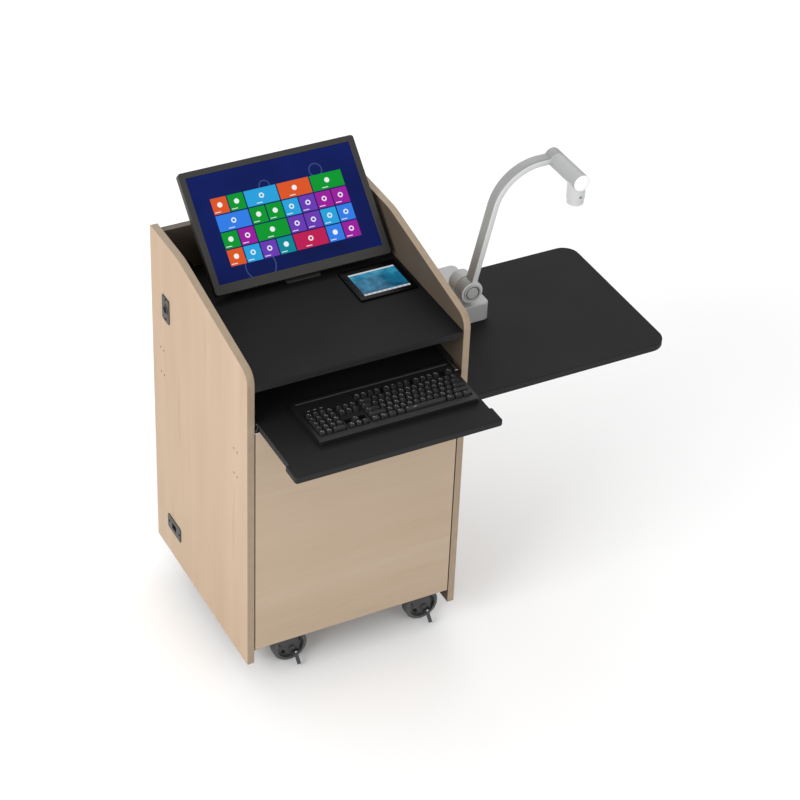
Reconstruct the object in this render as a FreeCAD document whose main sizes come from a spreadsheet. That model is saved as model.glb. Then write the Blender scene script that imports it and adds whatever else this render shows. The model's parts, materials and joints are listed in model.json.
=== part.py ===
"""Mobile lectern stand: a wooden cabinet on casters with a worktop, a pull-out keyboard
tray, a monitor on a tilting foot, a fold-down side shelf and a document camera.

Millimetres.  The layout frame has x across from the cabinet's centre plane, y back from the
front edges of the side panels and z up from their lower edges.  Every node is moved from it
to the part's own frame, whose origin is on the floor below the middle of the outer box.
"""
import FreeCAD
import Part
import Sketcher
import math
import os
import re

SIZES = """
cab_width 600          outer width over the side panels
cab_depth 588          side panels, front to back
panel_thick 19         side, back and bottom panels
side_top 995           top of the side panels
slope_front 912        height where the slope would meet the front edge
slope_end 410          where the slope ends at the flat top
nose_radius 38         front corner of a side panel
bend_radius 200        where the slope runs into the flat top
back_corner 6          rear top corner of a side panel
back_top 978           top of the back panel
base_level 44          underside of the bottom panel
worktop_top 876        top face of the worktop
worktop_thick 18       worktop board
notch_left -205        left side of the cable notch
notch_width 35         cable notch in the rear edge of the worktop
notch_depth 32         cable notch, front to back
spare_y 69.5           front spare bracket holes in the left panel, middle
spare_rear 62          rear spare bracket holes ahead of the back edge, middle
spare_rear_z 616       rear spare bracket holes, middle
spare_z 608            spare bracket holes in the left panel, middle
bolt_gap 20            bracket bolts, front to back
bolt_rise 76           bracket bolts, up and down
bolt_hole 3.25         bracket bolt hole, radius
plate_thick 2.5        port plates
plate_corner 6         port plates
screw_head 1.6         port plate screw, height of the head
port_front 471         upper port plate, front edge
port_low 760           upper port plate, lower edge
port_width 44          upper port plate
port_height 73         upper port plate
port_bore 9.5          round socket, radius
port_depth 16          round socket, depth behind the plate
inlet_front 427        lower port plate, front edge
inlet_low 83           lower port plate, lower edge
inlet_width 84         lower port plate
inlet_height 45        lower port plate
inlet_open_y 26        inlet opening, front to back
inlet_open_z 18        inlet opening, height
cup_wall 1.5           wall of both sockets behind their plates
door_top 735           top of the door
door_thick 19          door
door_gap 3             gap beside the door
pivot_inset 6          door pivot in from the door's edge
pivot_back 4           door pivot back from the door's face
pivot_pin 3            door pivot pin, radius
pivot_depth 14         door pivot pin, length above its leaf
leaf_thick 2           door pivot leaf
leaf_width 15          door pivot leaf, across
leaf_length 40         door pivot leaf, front to back
leaf_wall 28           door pivot leaf, height of its screwed wing
catch_size 16          door catch, across
catch_depth 24         door catch, front to back
catch_height 30        door catch
catch_top 720          door catch
stem_x 194             caster stem from the centre plane
stem_front 70          front caster stems
stem_rear 70           rear caster stems ahead of the side panels' back edges
mount_size 70          caster mounting plate
mount_thick 4          caster mounting plate
mount_bolt 27          caster bolt from the stem, both ways
race_radius 25         fixed half of the swivel
race_height 6          fixed half of the swivel
swivel_gap 1           between the two halves of the swivel
crown_radius 26        turning half of the swivel
crown_height 6         turning half of the swivel
king_pin 6             swivel pin, radius
wheel_radius 48        caster wheel
wheel_room 15          top of the wheel to the crown of its fork
wheel_width 32         caster wheel
wheel_trail 42         axle from the stem
shoulder 7             rounding of the tread's edges
wheel_hub 13           caster wheel hub
rim_inside 37          inside of the wheel's rim
web_thick 12           wheel web
hole_radius 8          lightening hole in the web
hole_circle 25         lightening holes from the axle
hole_count 5           lightening holes
axle_radius 5          caster axle
leg_gap 2.5            wheel to fork leg
leg_thick 3            fork leg
pedal_angle 45         brake pedal below level
pedal_length 34        brake pedal
pedal_width 9          brake pedal
pedal_thick 5          brake pedal
tray_top 758           top face of the keyboard tray
tray_thick 19          keyboard tray
tray_out 222           front of the tray ahead of the cabinet
tray_depth 462         keyboard tray, front to back
slide_gap 12.5         tray edge to side panel
lip_depth 55           wide front rail of the tray
lip_side 4             front rail to the side panel
lip_corner 8           front corners of the tray
slide_front 42         front end of the slide rails
slide_rear 77          slide rails to the back panel
runner_length 230      runner on the rear of the tray's edge
slide_height 35        slide rail
slide_metal 1.5        slide rail and runner wall
board_x 42             keyboard centre from the centre plane
board_front -137       keyboard, front edge
board_width 430        keyboard
board_depth 170        keyboard
board_thick 15         keyboard case
well_floor 5           floor of the key wells above the tray
key_pitch 18           keyboard key pitch
key_gap 3              between keycaps
key_rise 6             keycaps above the case
key_lift 4             key sheet above the well floor
sheet_thick 1.5        sheet that carries the keycaps
key_front 20           first key row from the case's front edge
key_side 10            key blocks from the case's left edge
block_gap 7            between key blocks
mon_x 23               monitor centre from the centre plane
mon_ahead 228          monitor lower front edge ahead of the side panels' back edges
mon_z 896              monitor lower front edge
mon_tilt 47.2          monitor leaning back from upright
mon_width 486          monitor
mon_height 323         monitor
mon_edge 18            monitor bezel, front to back
mon_depth 50           monitor with its back
screen_width 452       visible screen
screen_height 282      visible screen
screen_low 25          screen above the lower edge
lip_thick 3            bezel in front of the screen panel
hinge_up 79.7          tilt axis up the monitor's back
hinge_back 65.5        tilt axis behind the monitor's face
barrel_radius 9        tilt hinge barrel
hinge_pin 4            tilt hinge pin, radius
vesa_size 110          plate on the monitor's back
foot_half 47.5         monitor foot, half width
foot_start 6           monitor foot behind the monitor's lower front edge
foot_depth 134         monitor foot, front to back
foot_thick 4           monitor foot
panel_left 108         touch panel on the worktop
panel_front 215        touch panel
panel_width 161        touch panel
panel_depth 137        touch panel
panel_rise 5           touch panel above the worktop
glass_left 126         touch panel glass, left edge
glass_front 231        touch panel glass, front edge
glass_width 128        touch panel glass
glass_depth 99         touch panel glass
shelf_top 667          side shelf
shelf_thick 19         side shelf
shelf_gap 2            side shelf to the cabinet
shelf_width 596        side shelf, across
shelf_depth 507        side shelf, front to back
shelf_corner 45        outer corners of the side shelf
pivot_out 22           shelf pivot from the cabinet
pivot_drop 8           shelf pivot below the shelf board
bracket_width 36       wall leg of a bracket
bracket_metal 2.5      bracket wall
wall_leg_low 515       lower end of the wall legs
arm_length 250         bracket arm
arm_width 30           bracket arm
strut_at 100           strut pivot out from the shelf pivot
strut_reach 109        strut, across
strut_angle 45         strut below level
strut_half 5           strut, half height
base_left 404          document camera base
base_front 285         document camera base
base_width 118         document camera base
base_depth 198         document camera base
base_height 52         document camera base
base_corner 16         document camera base
hub_x 463              arm pivot of the document camera
hub_up 100             arm pivot above the shelf
hub_radius 31          arm pivot drum
hub_front 280          front of the arm's drum
arm_depth 35           camera arm, front to back
arm_thick 20           camera arm
arm_lean 13            camera arm from upright
arm_bend 132           camera arm, radius at its centre line
arm_rise 341           head axis above the arm pivot
head_x 690             head axis
head_radius 22.5       head tube
head_front 159         front end of the head tube
cap_thick 5            cap on the head tube
barrel_y 184           lens barrel axis
lens_barrel 24         lens barrel, radius
barrel_low 52          lens barrel's lower end below the head axis
ring_radius 22         focus ring
ring_height 16         focus ring
lens_radius 14         front lens
"""

doc = FreeCAD.newDocument("lectern_stand")
dims = doc.addObject("Spreadsheet::Sheet", "dims")
names = []
for row, line in enumerate(SIZES.strip().splitlines(), 1):
    alias, number, note = line.split(None, 2)
    names.append(alias)
    dims.set(f"A{row}", note)
    dims.set(f"B{row}", number)
    dims.setAlias(f"B{row}", alias)
doc.recompute()
ALIAS = re.compile(r"\b(" + "|".join(names) + r")\b")

# places used by several pieces, as formulas of the driving sizes
INNER = "(cab_width/2 - panel_thick)"
DOOR_HALF = f"({INNER} - door_gap)"
DOOR_AXIS = f"(-{DOOR_HALF} + pivot_inset)"
BACK_FACE = "(cab_depth - panel_thick)"
CROWN_TOP = "(-mount_thick - race_height - swivel_gap)"
CROWN_LOW = f"({CROWN_TOP} - crown_height)"
AXLE = f"({CROWN_LOW} - wheel_room - wheel_radius)"
FLOOR = f"(base_level + {AXLE} - wheel_radius)"
MON_Y = "(cab_depth - mon_ahead)"
FOOT_FRONT = f"({MON_Y} + foot_start)"
FOOT_BACK = f"({FOOT_FRONT} + foot_depth)"
TRAY_HALF = f"({INNER} - slide_gap)"
SLIDE_MID = "(tray_top - tray_thick/2)"
SHELF_LEFT = "(cab_width/2 + shelf_gap)"
PIVOT_X = "(cab_width/2 + pivot_out)"
PIVOT_Z = "(shelf_top - shelf_thick - pivot_drop)"
HUB_Z = "(shelf_top + hub_up)"
HEAD_Z = f"({HUB_Z} + arm_rise)"
HUB_BACK = "(hub_front + arm_depth)"
RUNNING = 0.06
EPS = 0.01


# ---------------------------------------------------------------- building blocks
def full(text):
    """The formula with the sheet's name before each size."""
    return ALIAS.sub(r"dims.\1", str(text))


def value(text):
    return float(dims.evalExpression(full(text)))


def bind(thing, prop, text):
    thing.setExpression(prop, full(text))


def bind_place(thing, place):
    for axis, text in zip("xyz", place):
        bind(thing, f"Placement.Base.{axis}", text)


def box(name, low, high):
    """Block between two corners."""
    block = doc.addObject("Part::Box", name)
    for side, first, last in zip(("Length", "Width", "Height"), low, high):
        bind(block, side, f"({last}) - ({first})")
    bind_place(block, low)
    return block


TURNS = {
    "x": FreeCAD.Rotation(FreeCAD.Vector(0, 1, 0), 90),
    "y": FreeCAD.Rotation(FreeCAD.Vector(1, 0, 0), -90),
    "z": FreeCAD.Rotation(),
}


def rod(name, axis, start, radius, length):
    """Round bar from its start along one axis."""
    bar = doc.addObject("Part::Cylinder", name)
    bar.Placement = FreeCAD.Placement(FreeCAD.Vector(), TURNS[axis])
    bind(bar, "Radius", radius)
    bind(bar, "Height", length)
    bind_place(bar, start)
    return bar


def join(name, pieces):
    whole = doc.addObject("Part::MultiFuse", name)
    whole.Shapes = pieces
    return whole


def cut(name, base, tools):
    """The base less every tool."""
    rest = doc.addObject("Part::Cut", name)
    rest.Base = base
    rest.Tool = tools[0] if len(tools) == 1 else join(name + "_tools", tools)
    return rest


def channel(name, low, high, axis, side, wall):
    """Open channel along y or x: a block less a groove that opens to one side."""
    first = list(low)
    last = list(high)
    for index in range(3):
        if index == axis:
            first[index] = f"({low[index]}) - 1"
            last[index] = f"({high[index]}) + 1"
        elif index == abs(side) - 1:
            opens_up = side > 0
            first[index] = f"({low[index]}) + {wall}" if opens_up else f"({low[index]}) - 1"
            last[index] = f"({high[index]}) + 1" if opens_up else f"({high[index]}) - {wall}"
        else:
            first[index] = f"({low[index]}) + {wall}"
            last[index] = f"({high[index]}) - {wall}"
    return cut(name, box(name + "_block", low, high), [box(name + "_groove", first, last)])


def new_sketch(body, plane, offset="0"):
    """Sketch on one of the body's own origin planes."""
    sketch = body.newObject("Sketcher::SketchObject", body.Name + "_sketch")
    support = [face for face in body.Origin.OriginFeatures if face.Role == plane + "_Plane"][0]
    sketch.AttachmentSupport = [(support, "")]
    sketch.MapMode = "FlatFace"
    bind(sketch, "AttachmentOffset.Base.z", offset)
    return sketch


def hold(sketch, geometry, end, corner):
    """Fix a point of the sketch at a corner's two formulas."""
    for kind, text in zip(("DistanceX", "DistanceY"), corner):
        number = sketch.addConstraint(Sketcher.Constraint(kind, geometry, end, value(text)))
        bind(sketch, f"Constraints[{number}]", text)


def draw(sketch, corners):
    """Closed outline through corners (across, up[, radius]), anticlockwise."""
    points = [FreeCAD.Vector(value(corner[0]), value(corner[1]), 0) for corner in corners]
    count = len(points)
    runs = []
    bends = []
    for index, (point, corner) in enumerate(zip(points, corners)):
        if len(corner) == 2:
            runs.append((point, point))
            bends.append(None)
            continue
        before = (points[index - 1] - point).normalize()
        after = (points[(index + 1) % count] - point).normalize()
        radius = value(corner[2])
        half = before.getAngle(after) / 2
        reach = radius / math.tan(half)
        centre = point + (before + after).normalize() * (radius / math.sin(half))
        runs.append((point + before * reach, point + after * reach))
        bends.append((centre, radius))
    lines = []
    for index in range(count):
        segment = Part.LineSegment(runs[index][1], runs[(index + 1) % count][0])
        lines.append(sketch.addGeometry(segment, False))
    for index, corner in enumerate(corners):
        into, out = lines[index - 1], lines[index]
        if bends[index] is None:
            sketch.addConstraint(Sketcher.Constraint("Coincident", into, 2, out, 1))
            hold(sketch, out, 1, corner)
            continue
        centre, radius = bends[index]
        start, end = runs[index]
        left = (start - points[index]).cross(end - points[index]).z < 0
        if not left:
            start, end = end, start
        angles = [math.atan2(spot.y - centre.y, spot.x - centre.x) for spot in (start, end)]
        circle = Part.Circle(centre, FreeCAD.Vector(0, 0, 1), radius)
        bend = sketch.addGeometry(Part.ArcOfCircle(circle, *angles), False)
        first, last = (1, 2) if left else (2, 1)
        sketch.addConstraint(Sketcher.Constraint("Tangent", into, 2, bend, first))
        sketch.addConstraint(Sketcher.Constraint("Tangent", bend, last, out, 1))
        number = sketch.addConstraint(Sketcher.Constraint("Radius", bend, radius))
        bind(sketch, f"Constraints[{number}]", corner[2])
        mark = sketch.addGeometry(Part.Point(points[index]), True)
        sketch.addConstraint(Sketcher.Constraint("PointOnObject", mark, 1, into))
        sketch.addConstraint(Sketcher.Constraint("PointOnObject", mark, 1, out))
        hold(sketch, mark, 1, corner)


def slab(name, plane, corners, start, depth):
    """Body padded from an outline, from start along the plane's positive axis."""
    body = doc.addObject("PartDesign::Body", name)
    offset = f"-(({start}) + ({depth}))" if plane == "XZ" else start
    sketch = new_sketch(body, plane, offset)
    draw(sketch, corners)
    pad = body.newObject("PartDesign::Pad", name + "_pad")
    pad.Profile = sketch
    bind(pad, "Length", depth)
    sketch.Visibility = False
    return body


def soften(body, radius, chosen):
    """Round the edges of a body whose middles the test picks."""
    doc.recompute()
    tip = body.Tip
    edges = [f"Edge{n}" for n, edge in enumerate(tip.Shape.Edges, 1) if chosen(edge.CenterOfMass)]
    fillet = body.newObject("PartDesign::Fillet", body.Name + "_fillet")
    fillet.Base = (tip, edges)
    bind(fillet, "Radius", radius)
    body.Tip = fillet
    return body


def near(number, text):
    return abs(number - value(text)) < EPS


NODES = []
SHIFT = (
    "-(shelf_gap + shelf_width - plate_thick - screw_head)/2",
    f"(tray_out - {MON_Y} - mon_height*sin(mon_tilt) - mon_edge*cos(mon_tilt))/2",
    f"-{FLOOR}",
)


def node(name, pieces, at=("0", "0", "0"), lean=None):
    """One named sub-part: its solids, moved together to their place on the stand."""
    whole = doc.addObject("Part::Compound", name)
    whole.Links = pieces
    whole.Label = name
    whole.Placement = FreeCAD.Placement(FreeCAD.Vector(), FreeCAD.Rotation(FreeCAD.Vector(1, 0, 0), 1))
    bind(whole, "Placement.Rotation.Angle", f"-{lean}" if lean else "0")
    bind_place(whole, [f"({text}) + ({shift})" for text, shift in zip(at, SHIFT)])
    NODES.append(whole)
    return whole


def rectangle(left, low, right, high, radius=None):
    """Corners of a rectangle, all rounded alike when a radius is given."""
    corners = [(left, low), (right, low), (right, high), (left, high)]
    return [corner + ((radius,) if radius else ()) for corner in corners]


# ---------------------------------------------------------------- cabinet
def side_outline():
    return [
        ("0", "0"),
        ("cab_depth", "0"),
        ("cab_depth", "side_top", "back_corner"),
        ("slope_end", "side_top", "bend_radius"),
        ("0", "slope_front", "nose_radius"),
    ]


def bolt_places(middle_y, middle_z):
    """The four holes of one bracket."""
    return [
        (f"{middle_y} + {across}*bolt_gap/2", f"{middle_z} + {up}*bolt_rise/2")
        for across in (-1, 1)
        for up in (-1, 1)
    ]


def cabinet():
    left = slab("left_board", "YZ", side_outline(), "-cab_width/2", "panel_thick")
    holes = [
        rod(f"spare_hole_{n}", "x", ("-cab_width/2 - 1", y, z), "bolt_hole", "panel_thick + 2")
        for n, (y, z) in enumerate(bolt_places("spare_y", "spare_z")
                                   + bolt_places("cab_depth - spare_rear", "spare_rear_z"))
    ]
    port = ("port_front + port_width/2", "port_low + port_height/2")
    holes.append(rod("port_hole", "x", ("-cab_width/2 - 1",) + port,
                     "port_bore + cup_wall", "panel_thick + 2"))
    inlet = inlet_box(f"cup_wall + {RUNNING}", "-cab_width/2 - 1", f"-{INNER} + 1")
    holes.append(box("inlet_hole", *inlet))
    node("left_side_panel", [cut("left_drilled", left, holes)])
    right = slab("right_board", "YZ", side_outline(), INNER, "panel_thick")
    node("right_side_panel", [right])
    node("back_panel", [box("back_board", (f"-{INNER}", BACK_FACE, "base_level"),
                            (INNER, "cab_depth", "back_top"))])
    node("bottom_panel", [box("bottom_board", (f"-{INNER}", "door_thick + 2", "base_level"),
                              (INNER, BACK_FACE, "base_level + panel_thick"))])
    notch = f"{BACK_FACE} - notch_depth"
    outline = [
        (f"-{INNER}", "0"),
        (INNER, "0"),
        (INNER, BACK_FACE),
        ("notch_left + notch_width", BACK_FACE),
        ("notch_left + notch_width", notch),
        ("notch_left", notch),
        ("notch_left", BACK_FACE),
        (f"-{INNER}", BACK_FACE),
    ]
    node("worktop", [slab("worktop_board", "XY", outline,
                          "worktop_top - worktop_thick", "worktop_thick")])


def inlet_box(grow, near_x, far_x):
    """Corners of a block as large as the inlet opening and grown all round."""
    middle_y = "inlet_front + inlet_width/2"
    middle_z = "inlet_low + inlet_height/2"
    low = (near_x, f"{middle_y} - inlet_open_y/2 - ({grow})", f"{middle_z} - inlet_open_z/2 - ({grow})")
    high = (far_x, f"{middle_y} + inlet_open_y/2 + ({grow})", f"{middle_z} + inlet_open_z/2 + ({grow})")
    return low, high


def ports():
    """Two plates on the left panel with a blind socket behind each."""
    outer = "-cab_width/2 - plate_thick"
    behind = "-cab_width/2 + port_depth"
    upper = rectangle("port_front", "port_low", "port_front + port_width",
                      "port_low + port_height", "plate_corner")
    lower = rectangle("inlet_front", "inlet_low", "inlet_front + inlet_width",
                      "inlet_low + inlet_height", "plate_corner")
    middle = ("port_front + port_width/2", "port_low + port_height/2")
    plate = slab("port_face", "YZ", upper, outer, "plate_thick")
    cup = rod("port_cup", "x", ("-cab_width/2",) + middle,
              f"port_bore + cup_wall - {RUNNING}", "port_depth + cup_wall")
    bore = rod("port_bore_tool", "x", (f"{outer} - 1",) + middle,
               "port_bore", "port_depth + plate_thick + 1")
    node("upper_port_plate", [cut("port_piece", join("port_solid", [plate, cup]), [bore])])
    plate = slab("inlet_face", "YZ", lower, outer, "plate_thick")
    cup = box("inlet_cup", *inlet_box("cup_wall", "-cab_width/2", f"{behind} + cup_wall"))
    opening = box("inlet_opening", *inlet_box("0", f"{outer} - 1", behind))
    node("lower_port_plate", [cut("inlet_piece", join("inlet_solid", [plate, cup]), [opening])])
    heads = []
    for side in (-1, 1):
        upper_spot = (middle[0], f"{middle[1]} + {side}*(port_height/2 - 7)")
        lower_spot = (f"inlet_front + inlet_width/2 + {side}*(inlet_width/2 - 8)",
                      "inlet_low + inlet_height/2")
        for name, spot in (("port", upper_spot), ("inlet", lower_spot)):
            start = (f"{outer} - screw_head",) + spot
            heads.append(rod(f"{name}_screw_{side + 1}", "x", start, "3.5", "screw_head"))
    node("port_plate_screws", heads)


def door():
    bottom = "base_level"
    board = slab("door_board", "XZ", rectangle(f"-{DOOR_HALF}", bottom, DOOR_HALF, "door_top", "1.5"),
                 "0", "door_thick")
    bores = [
        rod("door_bore_low", "z", (DOOR_AXIS, "pivot_back", f"{bottom} - 1"),
            f"pivot_pin + {RUNNING}", "pivot_depth + 1"),
        rod("door_bore_high", "z", (DOOR_AXIS, "pivot_back", "door_top - pivot_depth"),
            f"pivot_pin + {RUNNING}", "pivot_depth + 1"),
    ]
    node("front_door", [cut("door_drilled", board, bores)])
    pivots = []
    under = f"{bottom} - 1"
    over = "door_top + 0.7"
    for name, leaf, pin, wing in (
        ("low", f"{under} - leaf_thick", under, f"{under} - leaf_wall"),
        ("high", over, f"{over} - pivot_depth + 1", f"{over} + leaf_thick - leaf_wall"),
    ):
        tongue = box(f"leaf_{name}", (f"-{INNER}", "0", leaf),
                     (f"-{INNER} + leaf_width", "leaf_length", f"{leaf} + leaf_thick"))
        plate = box(f"wing_{name}", (f"-{INNER}", "door_thick + 3", wing),
                    (f"-{INNER} + leaf_thick", "leaf_length", f"{wing} + leaf_wall"))
        stub = rod(f"pin_{name}", "z", (DOOR_AXIS, "pivot_back", pin), "pivot_pin", "pivot_depth - 1")
        pivots.append(join(f"pivot_{name}", [tongue, plate, stub]))
    node("door_pivots", pivots)
    low = "catch_top - catch_height"
    node("door_catch", [box("catch_block", (f"{INNER} - catch_size", "door_thick + 2", low),
                            (INNER, "door_thick + catch_depth", "catch_top"))])
    node("catch_plate", [box("catch_steel", (f"{DOOR_HALF} - catch_size", "door_thick", low),
                             (f"{DOOR_HALF} - 2", "door_thick + 1.5", "catch_top"))])


# ---------------------------------------------------------------- casters
CASTERS = {
    "front_left": ("-stem_x", "stem_front"),
    "front_right": ("stem_x", "stem_front"),
    "rear_left": ("-stem_x", "cab_depth - stem_rear"),
    "rear_right": ("stem_x", "cab_depth - stem_rear"),
}
LEG_IN = "(wheel_width/2 + leg_gap)"
LEG_OUT = f"({LEG_IN} + leg_thick)"
PEDAL_Y = f"(-{LEG_OUT} - 5.5)"
PEDAL_Z = f"({AXLE} - 13)"


def caster_mount(name, x, y):
    """Fixed plate with the upper half of the swivel, and its four bolt heads."""
    plate = box(f"{name}_plate", (f"{x} - mount_size/2", f"{y} - mount_size/2", "base_level - mount_thick"),
                (f"{x} + mount_size/2", f"{y} + mount_size/2", "base_level"))
    race = rod(f"{name}_race", "z", (x, y, "base_level - mount_thick - race_height"),
               "race_radius", "race_height")
    bore = rod(f"{name}_bore", "z", (x, y, "base_level - mount_thick - race_height - 1"),
               f"king_pin + {RUNNING}", "race_height + mount_thick")
    heads = [
        rod(f"{name}_bolt_{across + 1}{along + 1}", "z",
            (f"{x} + {across}*mount_bolt", f"{y} + {along}*mount_bolt", "base_level - mount_thick - 4"),
            "6", "4")
        for across in (-1, 1)
        for along in (-1, 1)
    ]
    return cut(f"{name}_mount", join(f"{name}_top", [plate, race]), [bore]), heads


def fork(name, braked):
    """Turning half: crown, top plate, two legs, the riveted axle and the pedal's ears."""
    pieces = [
        rod(f"{name}_crown", "z", ("0", "0", CROWN_LOW), "crown_radius", "crown_height"),
        rod(f"{name}_king", "z", ("0", "0", CROWN_LOW), "king_pin",
            "crown_height + swivel_gap + race_height - 2"),
        box(f"{name}_roof", ("-18", f"-{LEG_OUT}", f"{CROWN_LOW} - leg_thick"),
            ("wheel_trail + 18", LEG_OUT, CROWN_LOW)),
        rod(f"{name}_axle", "y", ("wheel_trail", f"-{LEG_OUT} - 3", AXLE), "axle_radius",
            f"2*{LEG_OUT} + 6"),
    ]
    outline = [
        ("-18", CROWN_LOW),
        ("wheel_trail - 12", f"{AXLE} - 17", "8"),
        ("wheel_trail + 22", f"{AXLE} - 17", "5"),
        ("wheel_trail + 18", CROWN_LOW),
    ]
    for side, start in (("near", f"-{LEG_OUT}"), ("far", LEG_IN)):
        pieces.append(slab(f"{name}_{side}_leg", "XZ", outline, start, "leg_thick"))
    for side, start in (("near", f"-{LEG_OUT} - 3"), ("far", LEG_OUT)):
        pieces.append(rod(f"{name}_{side}_nut", "y", ("wheel_trail", start, AXLE), "8", "3"))
    if braked:
        for side, start in (("left", "wheel_trail - 1"), ("right", "wheel_trail + 6 + pedal_width")):
            pieces.append(box(f"{name}_{side}_ear", (start, f"{PEDAL_Y} - 4", f"{PEDAL_Z} - 4"),
                              (f"{start} + 3", f"-{LEG_OUT}", f"{PEDAL_Z} + 4")))
        pieces.append(rod(f"{name}_pedal_pin", "x", ("wheel_trail - 1", PEDAL_Y, PEDAL_Z), "2",
                          "pedal_width + 10"))
    return join(f"{name}_fork", pieces)


def wheel(name):
    """Turned wheel with a recessed web and a ring of lightening holes; its axis is y."""
    body = doc.addObject("PartDesign::Body", name + "_wheel")
    half, web = "wheel_width/2", "web_thick/2"
    right = [
        (half, f"axle_radius + {RUNNING}"),
        (half, "wheel_hub"),
        (web, "wheel_hub"),
        (web, "rim_inside"),
        (half, "rim_inside"),
        (half, "wheel_radius", "shoulder"),
    ]
    left = [(f"-{corner[0]}",) + corner[1:] for corner in reversed(right)]
    profile = new_sketch(body, "YZ")
    draw(profile, right + left)
    turned = body.newObject("PartDesign::Revolution", name + "_turned")
    turned.Profile = profile
    y_axis = [line for line in body.Origin.OriginFeatures if line.Role == "Y_Axis"][0]
    turned.ReferenceAxis = (y_axis, [""])
    turned.Angle = 360
    hole = new_sketch(body, "XZ")
    circle = Part.Circle(FreeCAD.Vector(0, value("hole_circle"), 0), FreeCAD.Vector(0, 0, 1),
                         value("hole_radius"))
    ring = hole.addGeometry(circle, False)
    hole.addConstraint(Sketcher.Constraint("PointOnObject", ring, 3, -2))
    number = hole.addConstraint(Sketcher.Constraint("DistanceY", ring, 3, value("hole_circle")))
    bind(hole, f"Constraints[{number}]", "hole_circle")
    number = hole.addConstraint(Sketcher.Constraint("Radius", ring, value("hole_radius")))
    bind(hole, f"Constraints[{number}]", "hole_radius")
    doc.recompute()
    solid = turned.Shape.Volume
    pocket = body.newObject("PartDesign::Pocket", name + "_hole")
    pocket.Profile = hole
    pocket.SideType = "Symmetric"
    bind(pocket, "Length", "wheel_width")
    pattern = body.newObject("PartDesign::PolarPattern", name + "_holes")
    pattern.Originals = [pocket]
    pattern.Axis = (y_axis, [""])
    pattern.Angle = 360
    bind(pattern, "Occurrences", "hole_count")
    body.Tip = pattern
    doc.recompute()
    taken = math.pi * value("hole_radius") ** 2 * value("web_thick") * value("hole_count")
    if abs(solid - pattern.Shape.Volume - taken) > 0.01 * taken:
        raise RuntimeError(f"{name}: the lightening holes are not all cut")
    return body


def pedal(name):
    """Foot lever hinged on the fork's near leg, slanting down and out."""
    start = ("wheel_trail + 4", PEDAL_Y, PEDAL_Z)
    barrel = rod(f"{name}_barrel", "x", start, "4", "pedal_width")
    lever = doc.addObject("Part::Box", f"{name}_lever")
    bind(lever, "Length", "pedal_width")
    bind(lever, "Width", "pedal_length")
    bind(lever, "Height", "pedal_thick")
    lever.Placement = FreeCAD.Placement(FreeCAD.Vector(), FreeCAD.Rotation(FreeCAD.Vector(1, 0, 0), 1))
    bind(lever, "Placement.Rotation.Angle", "180 + pedal_angle")
    bind_place(lever, (start[0], f"{PEDAL_Y} - pedal_thick/2*sin(pedal_angle)",
                       f"{PEDAL_Z} + pedal_thick/2*cos(pedal_angle)"))
    bore = rod(f"{name}_eye", "x", ("wheel_trail + 3", PEDAL_Y, PEDAL_Z), f"2 + {RUNNING}",
               "pedal_width + 2")
    return cut(f"{name}_pedal", join(f"{name}_foot", [barrel, lever]), [bore])


def casters():
    mounts = []
    bolts = []
    for name, (x, y) in CASTERS.items():
        mount, heads = caster_mount(name, x, y)
        mounts.append(mount)
        bolts += heads
    node("caster_plates", mounts)
    node("caster_bolts", bolts)
    for name, (x, y) in CASTERS.items():
        braked = name.startswith("front")
        place = (x, y, "base_level")
        axle = (f"{x} + wheel_trail", y, f"base_level + {AXLE}")
        node(f"caster_fork_{name}", [fork(name, braked)], place)
        node(f"caster_wheel_{name}", [wheel(name)], axle)
        if braked:
            node(f"brake_pedal_{name}", [pedal(name)], place)


# ---------------------------------------------------------------- keyboard tray
def tray():
    lip = f"({INNER} - lip_side)"
    front = "-tray_out"
    rear = "tray_depth - tray_out"
    step = "lip_depth - tray_out"
    outline = [
        (f"-{lip}", front, "lip_corner"),
        (lip, front, "lip_corner"),
        (lip, step),
        (TRAY_HALF, step),
        (TRAY_HALF, rear),
        (f"-{TRAY_HALF}", rear),
        (f"-{TRAY_HALF}", step),
        (f"-{lip}", step),
    ]
    board = slab("tray_board", "XY", outline, "tray_top - tray_thick", "tray_thick")
    soften(board, "5", lambda spot: near(spot.y, front))
    node("keyboard_tray", [board])
    rails, runners = [], []
    for side in (-1, 1):
        word = "left" if side < 0 else "right"

        def member(name, out, into, half, start, length):
            """One slide channel between two distances from the side panel."""
            near_x, far_x = f"{INNER} - {out}", f"{INNER} - {into}"
            if side < 0:
                near_x, far_x = f"-({far_x})", f"-({near_x})"
            opens_right = (name == "runner") == (side > 0)
            return channel(f"{name}_{word}", (near_x, start, f"{SLIDE_MID} - {half}"),
                           (far_x, f"{start} + {length}", f"{SLIDE_MID} + {half}"),
                           1, 1 if opens_right else -1, "slide_metal")

        rails.append(member("rail", "10.5", "0", "slide_height/2", "slide_front",
                            f"{BACK_FACE} - slide_rear - slide_front"))
        runners.append(member("runner", "slide_gap", "5.4", "(slide_height/2 - 8.1)",
                              f"{rear} - 2 - runner_length", "runner_length"))
    node("slide_rails", rails)
    node("tray_runners", runners)


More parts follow.
